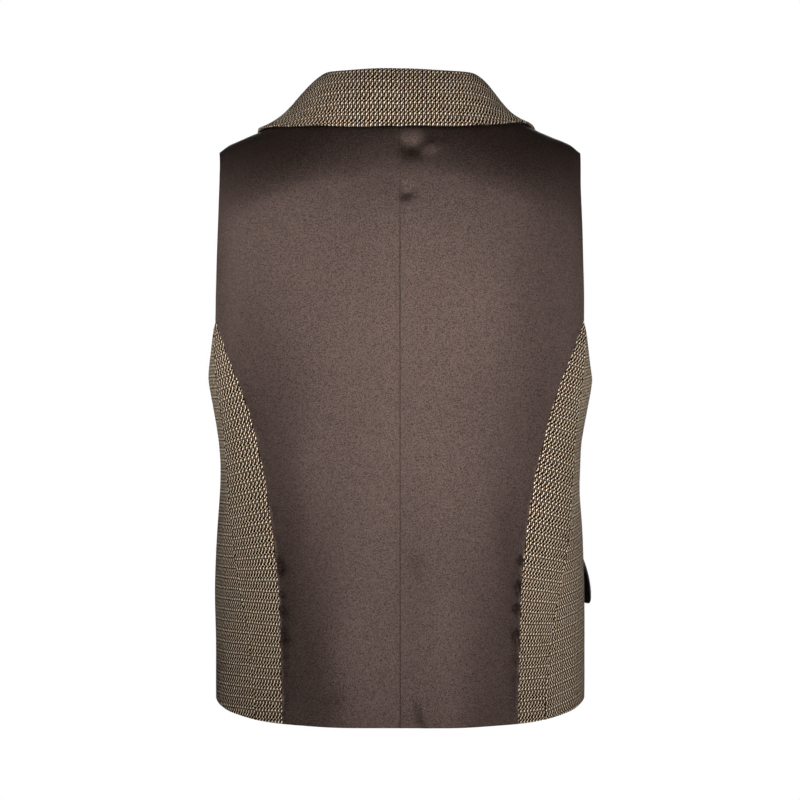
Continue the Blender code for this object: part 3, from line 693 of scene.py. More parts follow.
def front_grids():
    corner = front_places(-FRONT_OVERLAP, V_CORNER_HEIGHT)
    cutaway = np.array([front_places(row.x, row.height) for row in FRONT_EDGE])
    straight_z = np.linspace(FRONT_EDGE[-1].height, V_CORNER_HEIGHT, STRAIGHT_EDGE_POINTS + 1)[1:]
    upright = front_places(np.full(len(straight_z), -FRONT_OVERLAP), straight_z)
    front_edge = along(np.concatenate([cutaway, upright]), UP)
    front_edge[-1] = corner

    under_columns = crowded(UNDERARM_COLUMNS, end=False)
    front_columns = crowded(FRONT_COLUMNS)
    under = sample(armhole, SIDE_ROW, UNDER_ROW, under_columns)
    middle = straight(under[-1], corner, front_columns)
    split = under[-1, 0] - UNDERARM_HEM_SHIFT
    under_hem = hem(side_seam[0, 0], split, under_columns)
    bottom = joined(under_hem, hem(split, HEM[-1].around, front_columns))
    front_edge[0] = bottom[-1]
    under_share = UNDERARM_COLUMNS / (UNDERARM_COLUMNS + FRONT_COLUMNS)
    across = [under_share * under_columns, between(under_share, 1, front_columns[1:])]
    top = joined(under, middle)
    lower = patch(bottom, top, side_seam, front_edge, np.concatenate(across), UP)

    neck_rows = crowded(FRONT_NECK_ROWS, end=False)
    steps = np.linspace(0, 1, NECK_CORNER_ROWS + 1)
    up_neck = front_neckline(neck_rows)[::-1]
    neck = joined(straight(corner, up_neck[0], steps), up_neck)
    upper_rows = between(NECK_CORNER_SHARE, 1, (1 - neck_rows[::-1])[1:])
    rows = np.concatenate([NECK_CORNER_SHARE * steps, upper_rows])
    arm = sample(armhole, UNDER_ROW, len(armhole) - 1, rows)
    seam_drop = SHOULDER_SEAM_FORWARD
    shoulder = shoulder_places(SHOULDER_TIP, NECK_HALF_WIDTH, front_columns, seam_drop, True)
    upper = patch(middle, shoulder, arm, neck, front_columns, rows)
    return lower, upper


def grid_cells(numbers):
    """The cells between the points of a grid, from the grid of their numbers."""
    low, high = numbers[:-1], numbers[1:]
    return stacked(low[:, :-1], high[:, :-1], high[:, 1:], low[:, 1:]).reshape(-1, 4).tolist()


def cells_of(grids):
    """The places of several grids, each once, and the cells between them."""
    numbers = {}
    places = []
    cells = []
    for grid in grids:
        index = np.zeros(grid.shape[:2], int)
        for j, row in enumerate(grid):
            for i, place in enumerate(row):
                key = tuple(np.round(place, SAME_PLACE_DIGITS))
                if key not in numbers:
                    numbers[key] = len(places)
                    places.append(place)
                index[j, i] = numbers[key]
        cells += grid_cells(index)
    return np.array(places), cells


# ---- The grain: where each place lies on its piece's weave, in metres right and up as seen from outside.
# Its height is the one along the cloth.

TABLE_AROUND = np.linspace(0, 1.04, 209)  # past the centre front, where the fronts overlap
TABLE_HEIGHTS = np.linspace(-0.60, -0.12, 81)


def girth_table():
    around, z = TABLE_AROUND[None, :], TABLE_HEIGHTS[:, None]
    points = skin(around, drop_at(around, z))
    steps = np.linalg.norm(np.diff(points, axis=1), axis=2)
    return np.pad(np.cumsum(steps, axis=1), ((0, 0), (1, 0)))


GIRTHS = girth_table()


def girth(around, z):
    """The length of cloth from the centre back round to a place; above the armholes it stays the same."""
    low, high = TABLE_HEIGHTS[[0, -1]]
    a = np.clip(around / TABLE_AROUND[-1], 0, 1) * (len(TABLE_AROUND) - 1)
    d = np.clip((z - low) / (high - low), 0, 1) * (len(TABLE_HEIGHTS) - 1)
    i = np.minimum(a.astype(int), len(TABLE_AROUND) - 2)
    j = np.minimum(d.astype(int), len(TABLE_HEIGHTS) - 2)
    a, d = a - i, d - j
    lower = GIRTHS[j, i] * (1 - a) + GIRTHS[j, i + 1] * a
    upper = GIRTHS[j + 1, i] * (1 - a) + GIRTHS[j + 1, i + 1] * a
    return lower * (1 - d) + upper * d


def level(around, drop):
    """The height along the cloth: the same as the height wherever the cloth hangs."""
    return top_height(around) - np.abs(drop)


def back_grain(side, around, z, height):
    return stacked(-side * girth(around, z), height)


def side_back_grain(side, around, z, height):
    inner = around_of_x(column(PRINCESS_SEAM, "height", "place")(z), z)
    outer = around_of_y(column(SIDE_SEAM, "height", "place")(z), z)
    out = girth(around, z) - girth(inner * 0.5 + outer * 0.5, z)
    lean = column(SIDE_BACK_GRAIN, "height", "left" if side > 0 else "right")(z)
    closer = column(SIDE_BACK_GRAIN, "height", "closer")(z)
    rise = np.tan(np.radians(lean)) * out
    return stacked(-side * out * closer, (height + rise) * WEFT_CLOSER)


def front_grain(side, around, z, height):
    from_side = girth(around, z) - girth(np.full(len(around), FRONT_GRAIN_FROM), z)
    slope = math.tan(math.radians(FRONT_LEAN[side]))
    rise = slope * FRONT_LEAN_FADES * (1 - np.exp(-from_side / FRONT_LEAN_FADES))
    from_front = girth(np.ones(len(around)), z) - girth(around, z)
    return stacked(side * from_front * FRONT_WARP_CLOSER, (height - rise) * WEFT_CLOSER)


# ---- Shells.


def free_edges(cells):
    """The edges that only one cell has, as (a, b) with the cell on their left."""
    edges = {}
    for cell in cells:
        for a, b in zip(cell, cell[1:] + cell[:1]):
            if (b, a) in edges:
                del edges[b, a]
            else:
                edges[a, b] = True
    return list(edges)


def distance_to(targets, points):
    """How far each point is from the nearest target."""
    tree = KDTree(len(targets))
    for i, p in enumerate(targets):
        tree.insert(p, i)
    tree.balance()
    return np.array([tree.find(p)[2] for p in points])


def edge_distance(points, edges):
    """How far each point is from the nearest free edge."""
    shares = np.linspace(0, 1, RIM_SAMPLES + 1)[:-1, None, None]
    a, b = points[[e[0] for e in edges]], points[[e[1] for e in edges]]
    return distance_to(between(a, b, shares).reshape(-1, 3), points)


def rounding(distance, wall):
    """How far a wall's face lies below its full height beside its edge, which is a half round."""
    share = np.clip(1 - distance / (EDGE_ROUNDING * wall), 0, 1)
    return wall * (1 - RIM_SHARE) / 2 * (1 - np.sqrt(1 - share**2))


def add_object(name, data):
    made = bpy.data.objects.new(name, data)
    bpy.context.scene.collection.objects.link(made)
    return made


def make_shell(name, outer, inner, cells, uv, cloth, lining):
    """A closed wall between two faces with the same cells, anticlockwise as seen from outside."""
    count = len(outer)
    edges = free_edges(cells)
    faces = [tuple(cell) for cell in cells]
    faces += [tuple(count + i for i in reversed(cell)) for cell in cells]
    faces += [(b, a, count + a, count + b) for a, b in edges]
    mesh = bpy.data.meshes.new(name)
    mesh.from_pydata(np.concatenate([outer, inner]).tolist(), [], faces)
    mesh.materials.append(cloth)
    mesh.materials.append(lining)
    slots = [0] * len(cells) + [1] * len(cells) + [0] * len(edges)
    mesh.polygons.foreach_set("material_index", slots)
    corners = np.zeros(len(mesh.loops), np.int32)
    mesh.loops.foreach_get("vertex_index", corners)
    layer = mesh.uv_layers.new(name=WEAVE_UV)
    layer.data.foreach_set("uv", uv[corners % count].astype(np.float32).ravel())
    mesh.shade_smooth()
    return add_object(name, mesh)


def pucker_height(side, points, distance):
    total = np.zeros(len(points))
    near = distance / PUCKER_PEAK * np.exp(1 - distance / PUCKER_PEAK)
    for pucker in PUCKERS:
        if pucker.side == side:
            away = np.abs(points[:, 2] - pucker.height) / pucker.tall
            away += (distance / pucker.reach) ** 2
            total -= pucker.depth * near * np.exp(-away)
    return total


def dent_height(points):
    total = np.zeros(len(points))
    for dent in DENTS:
        turn = math.radians(dent.turn)
        right, up = points[:, 0] - dent.x, points[:, 2] - dent.height
        along = (right * math.cos(turn) + up * math.sin(turn)) / dent.along
        across = (up * math.cos(turn) - right * math.sin(turn)) / dent.across
        total += dent.depth * np.exp(-(along**2) - across**2)
    return total


def make_panel(name, side, grids, wall, grain, puckered, dented, cloth, lining):
    """A shell from its grids of places. It has this share of the puckers' height, and the dents or none."""
    places, cells = cells_of(grids)
    around, drop = places.T
    face = surface(side, around, drop)
    lift = np.zeros(len(places))
    if puckered:
        from_seam = distance_to(surface(side, *princess.T), face)
        lift = pucker_height(side, face, from_seam) * puckered
    if dented:
        lift = lift + dent_height(face)
    below = rounding(edge_distance(face, free_edges(cells)), wall)
    outer = surface(side, around, drop, lift - below)
    inner = surface(side, around, drop, lift - wall + below)
    if side < 0:
        cells = [cell[::-1] for cell in cells]
    uv = grain(side, around, skin(around, drop)[:, 2], level(around, drop))
    return make_shell(name, outer, inner, cells, uv, cloth, lining)


def yoke(side, x, drop, lift):
    """Points over the shoulders by x and drop, where a negative drop is on the front."""
    around = around_of_x(x, 0)
    return surface(side, np.where(drop < 0, 1 - around, around), np.abs(drop), lift)


def collar_necks():
    """Where the collar is sewn on: the station, x and drop of each place from the centre back forward."""
    back_shares = np.linspace(0, 1, NECK_COLUMNS + 1)
    front_shares = crowded(FRONT_NECK_ROWS, start=False)[1:]
    x = back_neck_x(back_shares)
    front = front_neckline(np.concatenate([[0], front_shares]))[1:]
    front_x = TOP_HALF_WIDTH * sideways_share(front[:, 0])
    rest = between(COLLAR_NECK_STATION, 1, front_shares)
    stations = np.concatenate([COLLAR_NECK_STATION * back_shares, rest])
    drop = np.concatenate([back_neckline(x), -front[:, 1]])
    return stations, np.concatenate([x, front_x]), drop


def collar_profile(stand, lean, roll, swell, width):
    """The middle of the collar's wall at one station: distances out from the neckline and off the cloth."""
    foot = -(SEAM_GAP + COLLAR_WALL / 2)
    top_out, top_off = lean + foot, stand
    points = [(foot, -COLLAR_FOOT_SINK)]
    for share in STAND_SHARES:
        points.append((between(foot, top_out - roll, share), (top_off - roll) * share))
    points.append((top_out - roll, top_off - roll))
    points.append((top_out - roll * ROLL_SHOULDER[0], top_off - roll * ROLL_SHOULDER[1]))
    points.append((top_out, top_off))
    for share in FALL_SHARES:
        wave = ((1 + math.cos(math.pi * share)) / 2) ** COLLAR_HOLLOW
        height = swell * wave + (1 - swell) * (1 - share)
        points.append((between(top_out, width, share), between(COLLAR_EDGE_CLEAR, top_off, height)))
    out, off = np.array(points).T
    steps = running(step_lengths(points))
    t = crowded(COLLAR_POINTS) * steps[-1]
    return stacked(through(steps, out)(t), through(steps, off)(t)), t


def offset_profile(profile, distance):
    """The profile moved sideways, to its outer face where the distance is positive."""
    direction = np.gradient(profile, axis=0)
    direction /= np.linalg.norm(direction, axis=1, keepdims=True)
    return profile + stacked(-direction[:, 1], direction[:, 0]) * distance[:, None]


def collar_wall(t, from_end):
    """Half the collar's thickness along a section: it rounds off at all its edges."""
    distance = np.minimum(np.minimum(t, t[-1] - t), from_end)
    return COLLAR_WALL / 2 - rounding(distance, COLLAR_WALL)


def make_collar(cloth):
    stations, neck_x, neck_drop = collar_necks()
    end_x = column(COLLAR_EDGE, "station", "x")(stations)
    end_drop = column(COLLAR_EDGE, "station", "drop")(stations)
    names = ("stand", "lean", "roll", "swell")
    fields = stacked(*(column(COLLAR_SECTIONS, "station", name)(stations) for name in names))
    outer, inner, uv = [], [], []
    from_shorter = (stations - COLLAR_RIGHT_STATION) / COLLAR_RIGHT_SPREAD
    shorter = COLLAR_RIGHT_SHORTER * np.exp(-(from_shorter**2))
    for side in (1, -1):
        seam_line = yoke(side, neck_x, neck_drop, 0)
        edge_x = end_x - (shorter if side < 0 else 0)
        edge_line = yoke(side, edge_x, end_drop, 0)
        run = np.gradient(seam_line, axis=0)
        width = np.linalg.norm(np.cross(run, edge_line - seam_line), axis=1)
        width /= np.linalg.norm(run, axis=1)
        from_end = running(step_lengths(seam_line)[::-1])[::-1]
        rows = []
        for k in range(len(stations)):
            profile, t = collar_profile(*fields[k], width[k])
            for sign, face in ((1, outer), (-1, inner)):
                moved = offset_profile(profile, sign * collar_wall(t, from_end[k]))
                share = moved[:, 0] / width[k]
                x = between(neck_x[k], edge_x[k], share)
                drop = between(neck_drop[k], end_drop[k], share)
                face.append(yoke(side, x, drop, moved[:, 1]))
            rows.append(t)
        uv += collar_grain(side, outer[-len(stations) :], rows)
    half = len(stations)
    order = list(range(half - 1, 0, -1)) + list(range(half, 2 * half))
    numbers = np.arange(len(order) * len(outer[0])).reshape(len(order), -1)
    cells = [[a, d, c, b] for a, b, c, d in grid_cells(numbers)]
    outer, inner, uv = (np.concatenate([part[k] for k in order]) for part in (outer, inner, uv))
    return make_shell("collar_shell", outer, inner, cells, uv, cloth, cloth)


def collar_grain(side, sections, lengths):
    """The collar laid flat: its sections fan out as its outer edge is longer than its roll."""
    roll = np.array([section[len(section) // ROLL_LINE_AT] for section in sections])
    edge = np.array([section[-1] for section in sections])
    roll_steps = step_lengths(roll)
    spread = np.linalg.norm(edge - roll, axis=1)[:-1]
    turn = running((step_lengths(edge) - roll_steps) / spread)
    middle = (turn[:-1] + turn[1:]) / 2
    along_x, along_y = running(roll_steps * np.cos(middle)), running(roll_steps * np.sin(middle))
    laid = []
    for k, t in enumerate(lengths):
        down = t - t[len(t) // ROLL_LINE_AT]
        x = along_x[k] + down * math.sin(turn[k])
        y = along_y[k] - down * math.cos(turn[k])
        laid.append(stacked(-side * x, y))
    return laid


def flap_standoff(side, along_share, down_share):
    """How far a flap stands off the front: the right one's lower rear corner has sprung out."""
    if side > 0:
        return FLAP_HANG * down_share
    sprung = np.clip((down_share - FLAP_SPRING_FROM) / (1 - FLAP_SPRING_FROM), 0, 1)
    off = FLAP_RISE + FLAP_SPRING * (1 - (1 - sprung) ** 2)
    return off * (1 - along_share) ** FLAP_SPRING_FADES


def make_flap(name, side, cloth, lining):
    shares = crowded(FLAP_COLUMNS)
    downs = crowded(FLAP_ROWS)
    share, down = np.meshgrid((1 - np.cos(np.pi * shares)) / 2, downs)
    x = share * FLAP_LENGTH
    from_end = np.minimum(x, FLAP_LENGTH - x)
    in_corner = np.maximum(FLAP_CORNER - from_end, 0)
    full = FLAP_DEPTH - FLAP_CORNER + np.sqrt(FLAP_CORNER**2 - in_corner**2)
    depth = full * down + FLAP_SLANT * share
    around = (FLAP_REAR + x / HALF_GIRTH).ravel()
    drop = (float(drop_at(FLAP_REAR, FLAP_TOP)) + depth).ravel()
    lift = FLAP_CLEAR + flap_standoff(side, share, down).ravel()
    cells = grid_cells(np.arange(x.size).reshape(x.shape))
    face = surface(side, around, drop, lift)
    below = rounding(edge_distance(face, free_edges(cells)), FLAP_WALL)
    outer = surface(side, around, drop, lift + FLAP_WALL - below)
    inner = surface(side, around, drop, lift + below)
    if side > 0:
        cells = [cell[::-1] for cell in cells]
    uv = stacked(side * (FLAP_LENGTH - x.ravel()), -depth.ravel())
    return make_shell(name, outer, inner, cells, uv, cloth, lining)


# ---- Materials.


def node(tree, kind, inputs=(), **settings):
    """A shader node with its settings, and its inputs as values or as other nodes' sockets."""
    made = tree.nodes.new("ShaderNode" + kind)
    for name, value in settings.items():
        setattr(made, name, value)
    for socket, value in dict(inputs).items():
        if isinstance(value, bpy.types.NodeSocket):
            tree.links.new(value, made.inputs[socket])
        else:
            made.inputs[socket].default_value = value
    return made


def reckon(tree, operation, a, b=0.0, clamp=False):
    return node(tree, "Math", {0: a, 1: b}, operation=operation, use_clamp=clamp).outputs[0]


def weighted(tree, *parts):
    """The sum of values, each by its weight."""
    total = None
    for value, weight in parts:
        part = reckon(tree, "MULTIPLY", value, weight)
        total = part if total is None else reckon(tree, "ADD", total, part)
    return total


def move(tree, operation, *inputs, **named):
    inputs = {**dict(enumerate(inputs)), **named}
    return node(tree, "VectorMath", inputs, operation=operation).outputs["Vector"]


def mapped(tree, place, kind="POINT", **inputs):
    return node(tree, "Mapping", {"Vector": place, **inputs}, vector_type=kind).outputs["Vector"]


# Noise: how many waves there are to a millimetre of cloth, and how fine and how strong the detail is.
Noise = namedtuple("Noise", "scale detail roughness", defaults=(0.5,))


def noise(tree, place, kind, output="Fac"):
    inputs = {"Vector": place, "Scale": kind.scale, "Detail": kind.detail, "Roughness": kind.roughness}
    return node(tree, "TexNoise", inputs).outputs[output]


def ramp(tree, value, low, high, to_low=0.0, to_high=1.0):
    inputs = {"Value": value, "From Min": low, "From Max": high, "To Min": to_low, "To Max": to_high}
    return node(tree, "MapRange", inputs, interpolation_type="SMOOTHSTEP").outputs["Result"]


def blend_colors(tree, share, first, second):
    made = node(tree, "Mix", {0: share}, data_type="RGBA")
    for socket, value in ((6, first), (7, second)):
        if isinstance(value, bpy.types.NodeSocket):
            tree.links.new(value, made.inputs[socket])
        else:
            made.inputs[socket].default_value = (*value, 1)
    return made.outputs[2]


def new_material(name, **sockets):
    material = bpy.data.materials.new(name)
    material.use_nodes = True
    tree = material.node_tree
    shader = tree.nodes["Principled BSDF"]
    for socket, value in sockets.items():
        shader.inputs[socket.replace("_", " ")].default_value = value
    return material, tree, shader


def emboss(tree, shader, height, strength, distance):
    bump = node(tree, "Bump", {"Strength": strength, "Distance": distance, "Height": height})
    tree.links.new(bump.outputs["Normal"], shader.inputs["Normal"])


def weave_place(tree):
    """The place on the weave, in millimetres."""
    uv = node(tree, "UVMap", uv_map=WEAVE_UV).outputs["UV"]
    return move(tree, "MULTIPLY", uv, (1000, 1000, 0))


# One repeat of the tweed, charted: each float of yarn from one end to the other, in millimetres
# right and down from the repeat's upper left corner, with its width and how light it is.
REPEAT_WIDTH = 4.04
REPEAT_LENGTH = 11.50
FLOATS = table(
    "right down to_right to_down width light",
    (3.30, -0.30, 3.10, 2.55, 0.98, 0.86),
    (3.00, 2.75, 1.70, 3.80, 0.82, 0.72),
    (1.40, 3.95, 1.20, 6.00, 0.98, 0.86),
    (3.40, 5.90, 2.95, 7.40, 0.85, 0.74),
    (2.80, 7.60, 1.90, 8.10, 0.78, 0.50),
    (1.85, 8.00, 1.30, 9.90, 1.10, 0.94),
    (3.35, 8.90, 3.25, 10.20, 0.78, 0.40),
    (1.20, 10.50, 0.95, 11.60, 0.76, 0.38),
    (1.30, 1.30, 1.20, 2.40, 0.80, 0.26),
)
YARN_GROUND = (0.003, 0.002, 0.001)
YARN_GROUND_RUST = (0.075, 0.026, 0.010)
YARN_BEIGE = (0.700, 0.552, 0.388)
YARN_PALE = (0.940, 0.850, 0.695)
YARN_RUST = (0.560, 0.200, 0.088)
YARN_GREEN = (0.380, 0.440, 0.215)
# How far out a float's yarn fades into the ground, as a share of half its width, and how light the dullest
# and the brightest stretches of yarn are. The closer weave of the sides and fronts has crisper floats.
Yarn = namedtuple("Yarn", "edge dull bright")
COLLAR_YARN = Yarn(1.30, 0.80, 1.40)
SIDE_YARN = Yarn(1.10, 0.88, 1.52)
FLOAT_CORE = 0.75  # the share of a float's half width that is as light as its middle
# The floats stray from the chart: how, and by how many millimetres.
STRAYS = ((Noise(0.07, 1.0), 0.90), (Noise(0.90, 2.0), 0.42))
HALF = (0.5, 0.5, 0.5)
PATCH_STRETCH = (0.16, 0.75, 1)  # rust and green patches are long along the rows
GREEN_SHIFT = (31.7, 12.9, 0)
RUST_PATCHES = Noise(1.0, 3.0, 0.6)
RUST_RANGE = (0.52, 0.68)
GREEN_PATCHES = Noise(1.0, 3.0)
GREEN_RANGE = (0.56, 0.74)
SPECKLE = Noise(1.6, 3.0, 0.7)
GROUND_RANGE = (0.48, 0.68)
PALE_RANGE = (0.70, 0.95)
UNEVEN_RANGE = (0.25, 0.75, 0.65, 1.30)
STRETCHES = Noise(0.30, 1.0)
STRETCH_RANGE = (0.30, 0.70)
FIBRE = Noise(5.0, 2.0)
FIBRE_HEIGHT = 0.25


def make_tweed(name, made_of):
    material, tree, shader = new_material(name, Roughness=0.9, Specular_IOR_Level=0.03)
    place = weave_place(tree)
    colors = [noise(tree, place, kind, "Color") for kind, _ in STRAYS]
    for color, (_, size) in zip(colors, STRAYS):
        moved = move(tree, "SCALE", move(tree, "SUBTRACT", color, HALF), Scale=size)
        place = move(tree, "ADD", place, moved)
    light = None
    half_width, half_length = REPEAT_WIDTH / 2, REPEAT_LENGTH / 2
    for item in FLOATS:
        right, up = (item.right + item.to_right) / 2, -(item.down + item.to_down) / 2
        run, rise = item.to_right - item.right, item.down - item.to_down
        reach = math.hypot(run, rise) / 2 + item.width / 4
        high = (right + half_width, up + half_length, 1)
        low = (right - half_width, up - half_length, -1)
        near = move(tree, "WRAP", place, high, low)
        turn = (0, 0, math.atan2(rise, run))
        size = (reach, item.width / 2, 1)
        turned = mapped(tree, near, "TEXTURE", Location=(right, up, 0), Rotation=turn, Scale=size)
        away = node(tree, "VectorMath", {0: turned}, operation="LENGTH").outputs["Value"]
        mask = ramp(tree, away, made_of.edge, FLOAT_CORE, 0.0, item.light)
        light = mask if light is None else reckon(tree, "MAXIMUM", light, mask)

    stretched = mapped(tree, place, Scale=PATCH_STRETCH)
    rust = ramp(tree, noise(tree, stretched, RUST_PATCHES), *RUST_RANGE)
    lower = move(tree, "ADD", stretched, GREEN_SHIFT)
    green = ramp(tree, noise(tree, lower, GREEN_PATCHES), *GREEN_RANGE)
    speckle = noise(tree, place, SPECKLE)
    yarn = blend_colors(tree, rust, YARN_BEIGE, YARN_RUST)
    yarn = blend_colors(tree, green, yarn, YARN_GREEN)
    yarn = blend_colors(tree, ramp(tree, light, *PALE_RANGE), yarn, YARN_PALE)
    ground = blend_colors(tree, ramp(tree, speckle, *GROUND_RANGE), YARN_GROUND, YARN_GROUND_RUST)
    uneven = ramp(tree, speckle, *UNEVEN_RANGE)
    own = ramp(tree, noise(tree, place, STRETCHES), *STRETCH_RANGE, made_of.dull, made_of.bright)
    share = reckon(tree, "MULTIPLY", light, reckon(tree, "MULTIPLY", uneven, own), clamp=True)
    tree.links.new(blend_colors(tree, share, ground, yarn), shader.inputs["Base Color"])

    fibre = noise(tree, place, FIBRE)
    height = reckon(tree, "ADD", light, reckon(tree, "MULTIPLY", fibre, FIBRE_HEIGHT))
    emboss(tree, shader, height, strength=0.8, distance=0.00030)
    return material


Satin = namedtuple("Satin", "color shade roughness")
BROWN_SATIN = Satin((0.0920, 0.0618, 0.0525), (0.0265, 0.0178, 0.0151), 0.60)
BLACK_SATIN = Satin((0.014, 0.013, 0.013), (0.009, 0.008, 0.008), 0.40)
THREAD_STRETCH = (1.6, 0.22, 1)  # the warp's streaks are long down the cloth
STREAKS = Noise(1.0, 3.0, 0.6)
MOTTLE = Noise(0.35, 4.0, 0.6)
GRAINS = 2.0  # to a millimetre
MOTTLE_TONE, STREAK_TONE, GRAIN_TONE = 0.18, 0.12, 0.70
TONE_RANGE = (0.20, 0.80)
STREAK_HEIGHT, GRAIN_HEIGHT = 0.6, 0.4


def make_satin(name, made_of):
    """Satin weave: its long warp floats shine like metal, and spread the shine across themselves."""
    sockets = {"Metallic": 0.88, "Roughness": made_of.roughness, "Anisotropic": 0.3}
    material, tree, shader = new_material(name, **sockets)
    place = weave_place(tree)
    streaks = noise(tree, mapped(tree, place, Scale=THREAD_STRETCH), STREAKS)
    mottle = noise(tree, place, MOTTLE)
    cells = node(tree, "TexVoronoi", {"Vector": place, "Scale": GRAINS}).outputs["Color"]
    grain = node(tree, "SeparateColor", {"Color": cells}).outputs["Red"]
    tones = weighted(tree, (mottle, MOTTLE_TONE), (streaks, STREAK_TONE), (grain, GRAIN_TONE))
    tone = ramp(tree, tones, *TONE_RANGE)
    tree.links.new(blend_colors(tree, tone, made_of.shade, made_of.color), shader.inputs["Base Color"])
    tangent = node(tree, "Tangent", direction_type="UV_MAP", uv_map=WEAVE_UV).outputs["Tangent"]
    tree.links.new(tangent, shader.inputs["Tangent"])
    height = weighted(tree, (streaks, STREAK_HEIGHT), (grain, GRAIN_HEIGHT))
    emboss(tree, shader, height, strength=0.5, distance=0.00010)
    return material


HORN_DARK = (0.014, 0.009, 0.006)
HORN_LIGHT = (0.060, 0.034, 0.018)
HORN_SWIRL = Noise(260.0, 3.0)  # to a metre
HORN_RANGE = (0.35, 0.7)


def make_horn():
    material, tree, shader = new_material("horn", Roughness=0.28, Coat_Weight=0.3)
    place = node(tree, "TexCoord").outputs["Object"]
    tone = ramp(tree, noise(tree, place, HORN_SWIRL), *HORN_RANGE)
    tree.links.new(blend_colors(tree, tone, HORN_DARK, HORN_LIGHT), shader.inputs["Base Color"])
    return material


# ---- Buttons, their thread and the buttonholes, on the left front at the centre front.

BUTTON_STEPS = 64
BUTTON_PROFILE = table(  # from the middle of the underside round the rim to the middle of the dished top
    "radius rise",
    (0.0000, 0.0000),
    (0.0050, 0.0000),
    (0.0066, 0.0003),
    (0.0075, 0.0008),
    (BUTTON_RADIUS, 0.0015),
    (0.0077, 0.0022),
    (0.0073, 0.0028),
    (0.0067, 0.0031),
    (0.0060, 0.0030),
    (0.0052, 0.0026),
    (0.0045, 0.0021),
    (0.0038, 0.0019),
    (0.0000, 0.0019),
)
BUTTON_SHARP = 40  # degrees between faces
HOLE_COUNT = 4
HOLE_STEPS = 20
DRILL_LENGTH = 0.010
THREAD_RADIUS = 0.00035
THREAD_RISE = 0.0023
THREAD_CROSSING = 0.0002  # how far each stitch lies from their middle height where they cross
THREAD_IN_HOLE = 0.4  # how far out in its hole the thread lies, as a share of the hole's radius
BUTTONHOLE_FROM = -0.002
BUTTONHOLE_TO = 0.0155
BUTTONHOLE_STITCHES = 17
STITCH_RADIUS = 0.00045
STITCH_REACH = 0.0013
STITCH_FROM = 0.15  # a stitch starts this share of its reach from the slit
STITCH_LIFT = 0.0001
STITCH_SIDES = 10
STITCH_RINGS = 8


def front_seat(height):
    """The place of a button: where it sits on the left front, and the way it faces."""
    drop = float(drop_at(1.0, height))
    seat = Vector(surface(1, 1.0, drop, SEAM_GAP))
    facing = Vector(outward(1.0, drop)).to_track_quat("Z", "X").to_matrix().to_4x4()
    return Matrix.Translation(seat) @ facing


def take_mesh(name, worked):
    mesh = bpy.data.meshes.new(name)
    worked.to_mesh(mesh)
    worked.free()
    return mesh


def make_button(name, place, material):
    """A turned disc with a raised rim and four sewing holes."""
    turned = bmesh.new()
    points = [turned.verts.new((point.radius, 0, point.rise)) for point in BUTTON_PROFILE]
    edges = [turned.edges.new(pair) for pair in zip(points, points[1:])]
    around = {"cent": (0, 0, 0), "axis": (0, 0, 1), "angle": math.tau, "steps": BUTTON_STEPS}
    bmesh.ops.spin(turned, geom=points + edges, **around)
    bmesh.ops.remove_doubles(turned, verts=turned.verts, dist=1e-6)
    bmesh.ops.recalc_face_normals(turned, faces=turned.faces)
    blank = add_object(name + "_blank", take_mesh(name, turned))

    drill = bmesh.new()
    for corner in range(HOLE_COUNT):
        angle = (corner + 0.5) * math.tau / HOLE_COUNT
        centre = Vector((math.cos(angle), math.sin(angle), 0)) * BUTTON_HOLE_OFFSET
        bmesh.ops.create_cone(
            drill,
            cap_ends=True,
            segments=HOLE_STEPS,
            radius1=BUTTON_HOLE_RADIUS,
            radius2=BUTTON_HOLE_RADIUS,
            depth=DRILL_LENGTH,
            matrix=Matrix.Translation(centre),
        )
    cutter = add_object(name + "_drill", take_mesh(name + "_drill", drill))
    holes = blank.modifiers.new("sewing_holes", "BOOLEAN")
    holes.object = cutter
    depsgraph = bpy.context.evaluated_depsgraph_get()
    drilled = bpy.data.meshes.new_from_object(blank.evaluated_get(depsgraph))
    bpy.data.objects.remove(blank)
    bpy.data.objects.remove(cutter)

    drilled.name = name
    drilled.materials.clear()
    drilled.materials.append(material)
    drilled.transform(place)
    drilled.shade_smooth()
    drilled.set_sharp_from_angle(angle=math.radians(BUTTON_SHARP))
    return add_object(name, drilled)


def stitches(name, ends, radius, place, material):
    """Short rounded threads, each from one end to the other."""
    made = bmesh.new()
    for start, end in ends:
        start, end = Vector(start), Vector(end)
        middle = (start + end) / 2
        turn = (end - start).to_track_quat("Z", "X").to_matrix().to_4x4()
        size = Matrix.Diagonal((radius, radius, (end - start).length / 2, 1))
        matrix = place @ Matrix.Translation(middle) @ turn @ size
        shape = {"u_segments": STITCH_SIDES, "v_segments": STITCH_RINGS, "radius": 1}
        bmesh.ops.create_uvsphere(made, matrix=matrix, **shape)
    mesh = take_mesh(name, made)
    mesh.materials.append(material)
    mesh.shade_smooth()
    return add_object(name, mesh)


def make_thread(name, place, material):
    """Two crossed stitches through the four holes."""
    reach = (BUTTON_HOLE_OFFSET + BUTTON_HOLE_RADIUS * THREAD_IN_HOLE) * math.sqrt(0.5)
    ends = []
    for turn in (1, -1):
        rise = THREAD_RISE + THREAD_CROSSING * turn
        ends.append(((-reach, -reach * turn, rise), (reach, reach * turn, rise)))
    return stitches(name, ends, THREAD_RADIUS, place, material)


